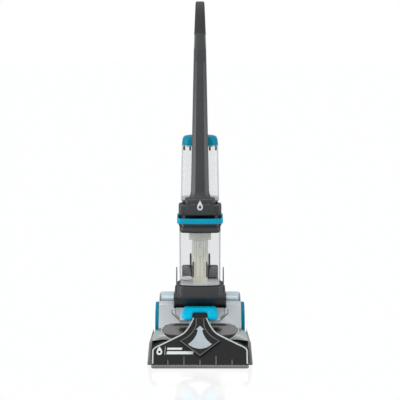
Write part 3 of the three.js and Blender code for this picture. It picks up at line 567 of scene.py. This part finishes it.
def cover_edge(inset=0.0):
    """The nozzle cover's outline on the slope, listed from the lip up its right side, then mirrored."""
    half = COVER_HALF - inset
    right = [(half, inset), (half, 46)]
    right += bend((half, 46), (half, 58 - inset), (125 - inset, 68 - inset))
    right += [(62 - inset, 101.5 - inset)]
    right += bend(right[-1], (41 - inset, 113 - inset), (22.7 - inset, 160 - inset))
    return mirrored(right)


def channel_edge(inset=0.0):
    """The raised channel's outline: a point at the bottom, wide shoulders, and a narrow neck."""
    right = [(0, 25 + inset), (64.4 - inset, 76.5)]
    right += bend(right[-1], (26 - inset, 96 - inset), (16 - inset, 131 - inset))
    right += [(15 - inset, 154.5 - inset)]
    return mirrored(right)


def arrow_edge():
    right = bend((0, 49.6), (22, 50.5), (37, 65))
    right = [(0, 49.6)] + right + bend((37, 65), (11, 84), (7, 113.7)) + [(13.3, 113.7), (0, 127)]
    return mirrored(right)


def make_nozzle():
    plate("nozzle_cover_look", [cover_edge(), channel_edge(5)[::-1]], -6, 0, "smoked_plastic", "nozzle",
          ON_SLOPE, 1.0, replaced=["nozzle_cover"])
    plate("channel_look", [channel_edge()], 0.3, 9, "smoked_plastic", "nozzle", ON_SLOPE, 3.5,
          replaced=["suction_channel"])
    side = cover_edge(2.8)
    right = side[: len(side) // 2]
    throat = channel_edge(3.4)
    throat = throat[: len(throat) // 2 + 1]
    for name, sign in SIDES:
        line = [(sign * x, y) for x, y in right]
        plate(f"trim_{name}", [ribbon(line, 4.4)], 0.2, 2.6, "silver_trim", "nozzle", ON_SLOPE, 0.9,
              replaced=["nozzle_trim"])
        line = [(sign * x, y) for x, y in throat if y > 26]
        lower_line = ribbon([(sign * 1.0, 28.5), line[0]], 0.8)
        plate(f"channel_line_{name}", [lower_line], 8.6, 9.4, faint_line, "nozzle", ON_SLOPE, 0.2)
        plate(f"channel_rim_{name}", [ribbon(line, 1.8)], 8.0, 9.6, faint_line, "nozzle", ON_SLOPE, 0.5)
    plate("arrow", [arrow_edge()], 8.9, 9.7, arrow_silver, "nozzle", ON_SLOPE, 0.3)
    for place_number, x in enumerate((-99, -49.5, 0, 49.5, 99)):
        top = 29 if place_number in (1, 3) else 17
        bar = fillet([(x - 1.3, 1, 0.5), (x + 1.3, 1, 0.5), (x + 0.8, top, 0.5), (x - 0.8, top, 0.5)])
        plate(f"lip_rib_{place_number}", [bar], -0.5, 1.6, "grey_plastic", "nozzle", ON_SLOPE, 0.3)
    lip = fillet([(-165, 2.5, 1.5), (-155, 2.5, 1), (-155, 11.3, 1), (-163, 11.3, 2), (-165, 9, 1.5)])
    plate("lip_look", [lip], -150.5, 150.5, "grey_plastic", "nozzle", SIDE_VIEW, 0.8, replaced=["nozzle_lip"])


def make_badge():
    """A plain water-drop mark and two bars, where such machines carry their lettering."""
    drop = bend((-126, 62), (-118, 50), (-117, 43)) + bend((-117, 43), (-117, 33), (-126, 33))
    drop += bend((-126, 33), (-135, 33), (-135, 43)) + bend((-135, 43), (-134, 50), (-126, 62))
    hole = circle((-126, 43), 4.2)
    plate("badge_drop", [drop, hole[::-1]], -0.1, 0.4, print_white, "nozzle", ON_SLOPE, 0.15)
    bars = {
        "badge_rule": [(-110, 33), (-109, 33), (-107, 62), (-108, 62)],
        "badge_bar_top": [(-102.5, 50), (-56, 50), (-54.5, 57), (-101, 57)],
        "badge_bar_low": [(-104, 35), (-22, 35), (-20, 45), (-102, 45)],
    }
    for name, corners in bars.items():
        bar = fillet([(x, y, 1.2) for x, y in corners])
        plate(name, [bar], -0.1, 0.4, print_white, "nozzle", ON_SLOPE, 0.15)


# --- Floor head -----------------------------------------------------------------------------------


def shoulder_half(y, z):
    """Half the width of the head's rounded shoulders at a place. They drop towards the back."""
    level = z + max(0, y - CREST_Y) / CREST_RUN
    for (low_z, low_half), (high_z, high_half) in zip(SHOULDER, SHOULDER[1:]):
        if level <= high_z:
            share = max(0, level - low_z) / (high_z - low_z)
            return low_half + (high_half - low_half) * share
    return SHOULDER[-1][1]


def shoulder_level(x):
    """Height of the rounded shoulders at a distance from the middle, at their front."""
    for (low_z, low_half), (high_z, high_half) in zip(SHOULDER, SHOULDER[1:]):
        if abs(x) >= high_half:
            share = (low_half - abs(x)) / (low_half - high_half)
            return low_z + (high_z - low_z) * share
    return SHOULDER[-1][0]


def make_hood():
    """The smoked cover over the brush housing. Towards its ends it takes on the side view of the end caps."""
    middle = ((-99, HOOD_FOOT), (-95, 77.5), (-88, 83), (-79, 88), (-70, 91), (-60, 92), (-50, 91),
              (-30, 83), (2, 79), (2, HOOD_FOOT))
    end = ((-112, HOOD_FOOT), (-106, 77), (-98, 80.5), (-88, 83), (-78, 84.5), (-68, 84.5), (-55, 84),
           (-30, 81), (2, 77), (2, HOOD_FOOT))
    ends = [120, 127, 133, 138, 142, 145, 147.5, 149]
    rings = []
    for x in [-x for x in reversed(ends)] + [20 * k for k in range(-5, 6)] + ends:
        share = min(1.0, max(0.0, (abs(x) - 118) / 30))
        level = shoulder_level(x)
        ring = []
        for (y0, z0), (y1, z1) in zip(middle, end):
            y = min(y0 + (y1 - y0) * share, CREST_Y + CREST_RUN * (level - HOOD_FOOT))
            z = min(z0 + (z1 - z0) * share, level - max(0, y - CREST_Y) / CREST_RUN)
            ring.append((x, y, max(HOOD_FOOT, z)))
        rings.append(ring)
    # The hood takes the smoked look with painted reflection on top and painted shade below.
    add("hood_look", *loft(rings), "cap_smoke", "floor_head", ["brush_hood"], sharp=50)


def cap_wrap(point):
    """Draws the outer face of an end cap in to the head's shoulders."""
    x, y, z = point
    reach = (abs(x) - CAP_INNER) / (CAP_OUTER - CAP_INNER)
    half = max(CAP_INNER + 1, shoulder_half(y, z))
    return Vector((math.copysign(CAP_INNER + (half - CAP_INNER) * reach, x), y, z))


# Side view of the lens over the brush housing, from the silver shell down to the nozzle.
LENS_LINE = ((-51, 109), (-56, 104.5), (-62, 99.5), (-70, 95), (-79, 90), (-88, 84.5), (-97, 77), (-103, 69))
LENS_OUTER = (92, 110, 118, 121.5, 119.5, 113, 101, 84)


def make_lens(name, sign):
    """A smoked lens beside the nozzle's neck, with a thin silver rim along its outer and lower edge."""
    steps = 18
    rings = []
    for place_number, (y, z) in enumerate(LENS_LINE):
        outer = LENS_OUTER[place_number]
        ring = []
        for step in range(steps + 1):
            share = step / steps
            x = 24 + (outer - 24) * share
            rise = 2.2 * (1 - share**8)
            ring.append((sign * x, y - rise * 0.7, z + rise * 0.7))
        ring += [(x, y + 6, z - 6) for x, *_ in reversed(ring)]
        rings.append(ring if sign < 0 else ring[::-1])
    add(f"lens_{name}", *loft(rings), "smoked_plastic", "floor_head")
    rim = [(sign * (x + 0.4), y, z + 0.4) for x, (y, z) in zip(LENS_OUTER, LENS_LINE)]
    tube(f"lens_rim_{name}", rim, 1.3, "silver_trim", "floor_head", 10)


def make_barrel(name, sign):
    """The round cover of a pivot, with a soft outer edge and room for the wheel below it."""
    profile = [(10, 84.2), (51, 84.2), (52, 85.2), (52, 120), (51.4, 124.5), (49.6, 128), (46.6, 130.2),
               (42, 131), (10, 131), (10, 84.2)]
    # The barrel's paint carries painted shade on its lower side and a painted reflection on top.
    barrel = lathe(f"barrel_{name}", profile, sign, PIVOT, "barrel_silver_painted_shading", "floor_head", 96,
                   [f"pivot_cover_{name}"])
    well = circle((WHEEL["y"], WHEEL["z"]), WHEEL["well"], 64)
    carve(barrel, *loft([[(sign * x, y, z) for y, z in well] for x in (117.5, 150)]))


def make_head():
    make_hood()
    for name, sign in SIDES:
        rim = fillet([(-143, 3, 3), (-112, 70, 12), (-98, 80, 10), (-60, 84, 14), (-5, 78, 8), (0, 66, 6),
                      (0, 8, 4), (-8, 3, 4)])
        # The end caps take the smoked look with painted reflection on top and painted shade below.
        cap = plate(f"end_cap_{name}_look", [rim], *span(sign, CAP_INNER, CAP_OUTER), "cap_smoke",
                    "floor_head", SIDE_VIEW, 4.5, replaced=[f"end_cap_{name}"])
        for vertex in cap.data.vertices:
            vertex.co = cap_wrap(vertex.co / MM) * MM
        make_lens(name, sign)
        make_barrel(name, sign)
    terraces = (
        (88, 63, 183, 157, -20.3, -17.4),
        (76, 60, 176.3, 160, -17.4, -14.8),
    )
    for number, (half, foot, knee, base, z0, z1) in enumerate(terraces):
        edge = mirrored([(foot - 22, base), (foot, base + 1), (half, knee), (half, 200)])
        plate(f"terrace_{number}", [edge], z0, z1, "silver_paint", "floor_head", ON_SLOPE, 0.9)
        groove = [(foot - 22, base - 1), (foot, base - 0.2), (half + 1, knee - 0.5), (half + 1, 198)]
        for name, sign in SIDES:
            line = [(sign * x, y) for x, y in groove]
            plate(f"terrace_groove_{number}_{name}", [ribbon(line, 2.2)], z0 - 0.4, z0 + 0.6, groove_grey,
                  "floor_head", ON_SLOPE, 0.15)
    well = fillet([(-26, 158, 2), (26, 158, 2), (26, 184, 2), (-26, 184, 2)])
    plate("latch_well", [well], -14.2, -9.5, "black_plastic", "floor_head", ON_SLOPE, 0.8)


def make_latch():
    """The release latch: a faceted bar with two lobes beside an arched notch."""
    rim = [(24.5, 157), (30, 154.5), (47, 154.5), (57, 164.5), (58, 175.5), (48, 201)]
    heel = rim[:-1] + [(51.5, 187)]  # drawn in at the back, so that the top edge can swing down
    arch = [(24.5, 172), (22.5, 178), (17, 180)]
    face = [(28.5, 163), (32, 160.5), (44, 160.5), (50.5, 167), (51, 175), (42, 193)]
    face_arch = [(28.5, 174), (26, 183), (18.5, 185)]

    def ring(edge, notch, z):
        points = edge + [(-x, y) for x, y in reversed(edge)] + [(-x, y) for x, y in notch] + notch[::-1]
        return [ON_SLOPE @ Vector((x, y, z)) for x, y in points]

    rings = [ring(heel, arch, -13.8), ring(rim, arch, -5.5), ring(face, face_arch, 0)]
    # The latch takes the teal brightened as painted light.
    latch = add("latch_look", *loft(rings), "bright_teal", "latch", ["nozzle_latch"], sharp=15)
    edges = latch.modifiers.new("edges", "BEVEL")
    edges.width = 0.8 * MM
    edges.segments = 2
    edges.limit_method = "ANGLE"
    edges.angle_limit = math.radians(12)


def make_wheels():
    """Wheels with notched tyres, a dished hub and six spokes."""
    centre = (WHEEL["y"], WHEEL["z"])
    for name, sign in SIDES:
        body = f"wheel_{name}"
        tyre = [(61.5, 119), (68, 119), (70, 121), (70, 129), (68.5, 130.7), (61.5, 130.7), (61.5, 119)]
        lathe(f"tyre_{name}_look", tyre, sign, centre, "tyre_rubber", body, 96, [f"tyre_{name}"],
              lambda r, x, a: r - (0.7 if r > 69 and math.sin(36 * a) > 0 else 0))
        disc = [(5.4, 119.2), (20, 119.2), (20, 131), (57, 131), (57, 119.4), (61, 119.4), (61, 131),
                (68, 131), (69, 132), (69, 143), (67, 145), (63, 145), (61, 143), (59.5, 139), (30, 137.5),
                (26, 140), (22, 144.4), (5.4, 144.4), (5.4, 119.2)]
        # Hub and spokes take the teal darkened as painted shade.
        lathe(f"hub_{name}_look", disc, sign, centre, "deep_teal", body, 96, [f"wheel_hub_{name}"])
        for spoke in range(6):
            turn = Matrix.Rotation(math.radians(60 * spoke + 15), 4, "X")
            seat = Matrix.Translation((0, *centre)) @ turn @ SIDE_VIEW
            bar = fillet([(25, -5, 2), (61, -8, 3), (61, 8, 3), (25, 5, 2)])
            plate(f"spoke_{name}_{spoke}", [bar], *span(sign, 136, 143.5), "deep_teal", body, seat, 1.5)


# --- Upright body ---------------------------------------------------------------------------------


def handle_half(z):
    """Half the width of the handle. Its soft grip draws in a little more towards the top."""
    up = (z - COLLAR["top"]) / (HEIGHT - COLLAR["top"])
    along_grip = max(0, (z - GRIP_FROM) / (HEIGHT - GRIP_FROM))
    return HANDLE_HALF - HANDLE_TAPER * up - GRIP_TAPER * along_grip


def lean_y(z):
    """How far back the leaning handle has gone at a height."""
    return (z - COLLAR["top"]) * math.tan(BEAM["lean"])


def flare_at(z):
    """How much of the flare at its foot the handle has: 1 at the bottom and 0 above it."""
    return max(0.0, (FLARE_TOP - z) / (FLARE_TOP - BEAM["bottom"]))


def front_line(z):
    """Y of the handle's front face: it leans with the beam, then follows the front of the loop."""
    if z <= BEAM["top"]:
        return BEAM["front"] + lean_y(z) - FLARE_DEPTH * flare_at(z) ** 2
    return BEAM["front"] + lean_y(BEAM["top"]) + 0.193 * (z - BEAM["top"]) - 1.0


def beam_ring(z):
    """The handle's section at a height: a flat front, wide bevels and rounded back corners."""
    half = handle_half(z) + 0.2 + FLARE_HALF * flare_at(z) ** 1.6
    front = front_line(z)
    thinner = max(0.0, (z - 915) / (GRIP_FROM - 915))
    depth = BEAM["depth"] + FLARE_DEPTH * flare_at(z) ** 2 - 18 * thinner
    back = front + depth
    bevel = min(9, depth - 4)
    face = 0.52 + 0.3 * flare_at(z)
    right = [(face * half, front, 1.5), (half, front + bevel, 2.5), (half, back, 3)]
    section = fillet(right + [(-x, y, radius) for x, y, radius in reversed(right)], steps=4)
    return [(x, y, z) for x, y in section]


def make_beam():
    """The handle up to the soft grip, with its foot on the collar."""
    heights = [BEAM["bottom"] + 3 * k for k in range(14)] + [FLARE_TOP + 20 * k for k in range(24)]
    rings = [beam_ring(z) for z in heights + [GRIP_FROM - 2, GRIP_FROM]]
    add("handle_beam_look", *loft(rings), "graphite_plastic", "upright", ["handle_beam"])
    column("beam_foot", (47, -36, 9.5, 12, 2), BEAM["bottom"], 507, "graphite_plastic", "upright", 0.6, 5)
    apron = mirrored([(50, 457.5), (44.5, 472), (39.6, 490)])
    plate("apron", [apron], 36.5, 41.4, "graphite_plastic", "upright", FRONT_VIEW, 1.2)
    # Pale silver slivers on the handle's bevels, a painted highlight where the soft grip meets the beam.
    for name, sign in SIDES:
        line = [(sign * (0.86 * handle_half(z)), front_line(z) + 6.5, z) for z in (966, 980, 994, 1008)]
        tube(f"grip_painted_highlight_{name}", line, 2.6, "silver_trim", "upright", 8)


def loop_outline():
    """Side view of the loop grip, and of the hole for the fingers."""
    start = BEAM["top"] + 0.3
    lean = lean_y(start)
    edge = [(BEAM["front"] + lean, start), (BEAM["back"] + lean, start)]
    edge += bend(edge[-1], (108, 940), (146, 978), (160, 1024))
    edge += bend(edge[-1], (165, 1044), (165, 1066), (165, 1072))
    edge += bend(edge[-1], (165, 1098), (146, HEIGHT), (122, HEIGHT))
    edge += bend(edge[-1], (94, HEIGHT), (82, 1094), (75, 1068))
    hole = [(86, 972)]
    hole += bend(hole[-1], (78, 984), (86, 1030), (96, 1060))
    hole += bend(hole[-1], (102, 1078), (110, 1086), (122, 1086))
    hole += bend(hole[-1], (136, 1086), (140, 1078), (140, 1066))
    hole += bend(hole[-1], (140, 1034), (120, 984), (100, 968))
    hole += bend(hole[-1], (95, 964), (90, 966), (86, 972))[:-1]
    return [edge, hole]


def make_loop(name, look, node, keep_above):
    """The part of the loop above or below the plane where the soft grip starts."""
    half = handle_half(BEAM["top"])

    def taper(point):
        return Vector((point.x, point.y, point.z * handle_half(point.y) / half))

    piece = plate(name, loop_outline(), -half, half, look, "upright", SIDE_VIEW, 6.5, replaced=[node],
                  warp=taper)
    shape = bmesh.new()
    shape.from_mesh(piece.data)
    cut = bmesh.ops.bisect_plane(shape, geom=shape.verts[:] + shape.edges[:] + shape.faces[:],
                                 plane_co=(0, 0.062, (GRIP_FROM - 2) * MM), plane_no=(0, 0.118, 0.993),
                                 clear_inner=keep_above, clear_outer=not keep_above)
    bmesh.ops.holes_fill(shape, edges=[e for e in cut["geom_cut"] if isinstance(e, bmesh.types.BMEdge)])
    shape.to_mesh(piece.data)
    shape.free()
    piece.data.set_sharp_from_angle(angle=math.radians(35))


def make_trigger_cheeks():
    """Two cheeks that hold the trigger's pivot on the inside of the loop."""
    cheek = fillet([(127, 1059, 5), (144, 1055, 1), (144, 1077, 1), (127, 1073, 5)])
    for name, sign in SIDES:
        plate(f"trigger_cheek_{name}", [cheek], *span(sign, 8.3, 11.3), "graphite_plastic", "upright",
              SIDE_VIEW, 0.8)


def make_housing():
    """The body behind the tanks: a drum round the pivots, a sloping bridge, a tower and two posts."""
    right = [(49.5, DRUM_HALF - 2), (47.5, DRUM_HALF), (9, DRUM_HALF)]
    profile = [(radius, -x) for radius, x in reversed(right)]
    profile += right + profile[:1]
    lathe("drum", profile, 1, PIVOT, "black_plastic", "upright", 96, ["body_housing"])
    bridge = fillet([(14.6, 142, 3), (-8, 150, 4), (-44, 190, 2), (-44, 191.7), (104, 191.7, 2),
                     (108, 160, 6), (111, 132, 6), (62, 110)])
    plate("bridge", [bridge], -DRUM_HALF, DRUM_HALF, "black_plastic", "upright", SIDE_VIEW, 2.0)

    def roof(point):
        """The tower's roof falls towards the back."""
        fall = 0.22 * max(0, point.y - 36)
        share = max(0, (point.z - 200) / 76)
        return Vector((point.x, point.y, point.z - fall * share))

    column("tower", (58, 33.7, 100.3, 12, 0), 191, 276, "black_plastic", "upright", 2, 5, warp=roof)
    for name, sign in SIDES:
        post = one_side([(27, 262, 1), (33, 262, 1), (33, 311, 3), (27, 311, 3)], sign)
        plate(f"post_{name}", [post], -60, -38, "black_plastic", "upright", FRONT_VIEW, 1)


def make_collar():
    """The block above the tank, with the seat behind it for the clean tank, and a plain water-drop mark."""
    bottom, top = COLLAR["bottom"], COLLAR["top"]
    column("collar_look", (COLLAR["half"], COLLAR["front"], 16, 12, 2), bottom, top, "graphite_plastic",
           "upright", 1.5, 4, replaced=["collar"])
    column("collar_seat", (57, -20, COLLAR["back"], 14, 0), bottom, top, "graphite_plastic", "upright",
           1.5, 2)
    column("collar_skirt", (57, 29, 100, 14, 0), 428, 457, "black_plastic", "upright", 1.5)
    drop = bend((0, 505), (7.5, 492), (9, 484)) + bend((9, 484), (9, 473), (0, 473))
    drop += bend((0, 473), (-9, 473), (-9, 484)) + bend((-9, 484), (-7.5, 492), (0, 505))
    hole = circle((0, 483), 4.6)
    plate("emblem", [drop, hole[::-1]], 41.2, 42.0, print_white, "upright", FRONT_VIEW, 0.2)


def ridged_plan(half, front, back, corner, inset):
    """The stack's plan: rounded, with upright flutes along its front."""
    ring = rounded_plan(half - inset, front + inset, back - inset, corner - inset, 0, steps=4)
    made = []
    for i, (x, y) in enumerate(ring):
        made.append((x, y))
        after = ring[(i + 1) % len(ring)]
        if y < front + 2 and after[1] < front + 2 and after[0] - x > 20:
            for step in range(1, 36):
                share = step / 36
                groove = 1.1 * (0.5 - 0.5 * math.cos(2 * math.pi * 6 * share))
                made.append((x + (after[0] - x) * share, y + groove))
    return made


def make_tanks():
    """The dirty-water tank with the stack inside it, and the tower's block that shows through it."""
    plan = (TANK["half"], TANK["front"], TANK["back"], 16, 5)
    rings = open_cup(plan, TANK["bottom"], TANK["top"], TANK["wall"], 3)
    add("dirty_tank_look", *loft([[tuple(p) for p in ring] for ring in rings]), "clear_plastic", "dirty_tank",
        ["dirty_tank_shell"])
    column("tank_base_look", (72.5, -62, 28.8, 24, 5), 197.3, 231.2, "graphite_plastic", "dirty_tank", 2.5, 2,
           replaced=["dirty_tank_base"])
    column("tank_floor", (61.6, -55.2, 23.2, 13.4, 5), 234.7, 236, pale_floor, "dirty_tank", 0.4)
    heights = (236.3, 237.2, 371.8, 372.7)
    insets = (0.8, 0, 0, 0.8)
    rings = [[(x, y, z) for x, y in ridged_plan(24, -18, 14, 5, inset)] for z, inset in zip(heights, insets)]
    add("stack_look", *loft(rings), "cream_plastic", "dirty_tank", ["stack_tube"])
    for number, (x, low_z) in enumerate(((-15, 300), (-6.5, 256), (6.5, 256), (15, 300))):
        strip = fillet([(x - 1.3, low_z, 1), (x + 1.3, low_z, 1), (x + 1.3, 369, 1), (x - 1.3, 369, 1)])
        plate(f"stack_flute_{number}", [strip], 17.2, 18.9, pale_floor, "dirty_tank", FRONT_VIEW, 0.5)
    for name, sign in SIDES:
        column(f"stack_bar_{name}", (2.2, -20.6, -18.2, 1, 0), 252, 302, "graphite_plastic", "dirty_tank",
               0.5, warp=lambda p, s=sign: Vector((p.x + s * 21.5, p.y, p.z)))
        block = one_side([(27, 238, 1), (57.5, 238, 2), (57.5, 268, 1), (51, 275.6, 5), (37, 275.6, 4),
                          (31, 262, 4)], sign)
        plate(f"tower_block_{name}", [block], -33.6, -31, tower_grey, "upright", FRONT_VIEW, 0.8)
    drain_z = 252.4
    dish = circle((-42, -28), 16, 48)
    tube("drain_ring", [(x, y, drain_z) for x, y in dish + dish[:1]], 1.6, pale_floor, "dirty_tank", 10)
    plate("drain_dish", [dish], drain_z - 1.6, drain_z, pale_floor, "dirty_tank", edge=0.5)


def clean_ring(inset, z):
    """The clean tank's section at a height. Its front wall leans with the handle."""
    share = (z - COLLAR["top"]) / (CLEAN["top"] - COLLAR["top"])
    front = 14 + 30 * share + inset
    back = 104 + 4 * share - inset
    half = 61 - 3.5 * share - inset
    plan = rounded_plan(1, -1, 1, 0.46)
    return [(x * half, (front + back) / 2 + y * (back - front) / 2, z) for x, y in plan]


def make_clean_tank():
    """The tall tank behind the handle, open at its neck, with a pale floor."""
    foot, top, wall = CLEAN["bottom"], CLEAN["top"], CLEAN["wall"]
    outside = [(3, foot), (1, foot + 0.7), (0, foot + 2.7), (0, top - 0.6), (0.4, top)]
    inside = [(wall - 0.4, top), (wall, top - 0.6), (wall, foot + 5.7), (wall + 2, foot + 3.2)]
    rings = [clean_ring(inset, z) for inset, z in outside + inside]
    add("clean_tank_look", *loft(rings), "clear_plastic", "clean_tank", ["clean_tank_shell"])
    add("clean_tank_floor", *loft([clean_ring(4.6, 491.7), clean_ring(3.2, 493.4)]), pale_floor, "clean_tank")


def make_clean_cap():
    """A domed cap with a pale sealing band under it and small lugs that grip the tank's neck."""
    plan = rounded_plan(57, 45, 108, 27)
    dome = ((1.0, 664.3), (1.0, 669), (0.99, 675), (0.97, 681), (0.93, 686.5), (0.86, 690), (0.72, 691.6),
            (0.4, 692))
    rings = []
    for draw, z in dome:
        rings.append([(x * draw, 76.5 + (y - 76.5) * draw, z) for x, y in plan])
    # The cap takes the teal darkened as painted shade.
    add("clean_cap_look", *loft(rings), "deep_teal", "clean_cap", ["clean_tank_cap"])
    column("cap_band", (56.4, 44.6, 107.6, 26.5, 0), 660.5, 664.2, line_grey, "clean_cap", 0.8)
    for x in (-50, -31, 31, 50):
        column(f"cap_lug_{x}", (3, 50, 54, 1, 0), 648, 661, "graphite_plastic", "clean_cap", 0.8,
               warp=lambda p, shift=x: Vector((p.x + shift, p.y - (6 if abs(shift) < 40 else 0), p.z)))


# --- Studio ---------------------------------------------------------------------------------------


def area_light(name, at, target, width, height, power):
    """A soft box of light, turned to face its target."""
    data = bpy.data.lights.new(name, "AREA")
    data.shape = "RECTANGLE"
    data.size = width
    data.size_y = height
    data.energy = power
    lamp = bpy.data.objects.new(name, data)
    lamp.location = at
    lamp.rotation_euler = (Vector(target) - Vector(at)).to_track_quat("-Z", "Y").to_euler()
    scene.collection.objects.link(lamp)


def make_floor():
    """A wide white floor. It mirrors a little, and shows the camera more light than it gives the room."""
    floor_mesh = bpy.data.meshes.new("floor")
    corners = [(-1, -1), (1, -1), (1, 1), (-1, 1)]
    floor_mesh.from_pydata([(x * FLOOR_REACH, y * FLOOR_REACH, 0) for x, y in corners], [], [(0, 1, 2, 3)])
    floor = bpy.data.objects.new("floor", floor_mesh)
    scene.collection.objects.link(floor)
    surface = Shader("studio_floor")
    seen = surface.node("ShaderNodeLightPath").outputs["Is Camera Ray"]
    glow = surface.node("ShaderNodeEmission", Strength=surface.between(seen, FLOOR_LIGHT, FLOOR_GLOW, 0, 1))
    shine = surface.node("ShaderNodeBsdfGlossy", Roughness=surface.between(surface.noise(60.0), 0.1, 0.14))
    blend = surface.node("ShaderNodeMixShader", Fac=FLOOR_SHINE)
    surface.feed(glow.outputs[0], blend.inputs[1])
    surface.feed(shine.outputs[0], blend.inputs[2])
    surface.feed(blend.outputs[0], surface.output.inputs["Surface"])
    floor.data.materials.append(surface.material)


def make_world():
    """A room that lights the machine evenly, in front of a backdrop that the camera sees as white."""
    world = bpy.data.worlds.new("studio")
    scene.world = world
    world.use_nodes = True
    tree = world.node_tree
    room = tree.nodes["Background"]
    room.inputs["Color"].default_value = (0.93, 0.96, 1, 1)
    room.inputs["Strength"].default_value = ROOM_LIGHT
    backdrop = tree.nodes.new("ShaderNodeBackground")
    backdrop.inputs["Color"].default_value = (1, 1, 1, 1)
    backdrop.inputs["Strength"].default_value = 1.0
    seen = tree.nodes.new("ShaderNodeLightPath").outputs["Is Camera Ray"]
    blend = tree.nodes.new("ShaderNodeMixShader")
    tree.links.new(seen, blend.inputs[0])
    tree.links.new(room.outputs[0], blend.inputs[1])
    tree.links.new(backdrop.outputs[0], blend.inputs[2])
    tree.links.new(blend.outputs[0], tree.nodes["World Output"].inputs["Surface"])


def make_camera():
    """A long lens, looking a little down from the front."""
    data = bpy.data.cameras.new("camera")
    data.sensor_width = 36
    data.lens = CAMERA_LENS
    camera = bpy.data.objects.new("camera", data)
    camera.location = Vector(CAMERA_AT) * MM
    camera.rotation_euler = (math.radians(90 - CAMERA_PITCH), 0, 0)
    scene.collection.objects.link(camera)
    scene.camera = camera
    scene.view_settings.view_transform = "Standard"


make_materials()
print_white = plain_look("print_white", rgb(225, 230, 230), 0.3)
arrow_silver = plain_look("arrow_silver", rgb(196, 206, 211), 0.3, metallic=0.3, spread=0.1)
line_grey = plain_look("line_grey", rgb(168, 174, 176), 0.3, metallic=0.3)
groove_grey = plain_look("groove_grey", rgb(60, 62, 64), 0.5)
faint_line = plain_look("faint_line", rgb(122, 126, 128), 0.35, metallic=0.2)
pale_floor = plain_look("pale_floor", rgb(248, 250, 252), 0.3)
tower_grey = plain_look("tower_grey", rgb(160, 161, 166), 0.45)
make_nozzle()
make_badge()
make_head()
make_latch()
make_wheels()
make_housing()
make_beam()
make_loop("handle_loop_look", "graphite_plastic", "handle_loop", keep_above=False)
make_loop("grip_pad_look", "soft_grip", "grip_pad", keep_above=True)
make_trigger_cheeks()
make_collar()
make_tanks()
make_clean_tank()
make_clean_cap()
for node in frame["nodes"]:
    finish_cad(node, edge=3.0 if node == "base_cover" else 0.6)
make_floor()
make_world()
for lamp in LAMPS:
    area_light(*lamp)
make_camera()
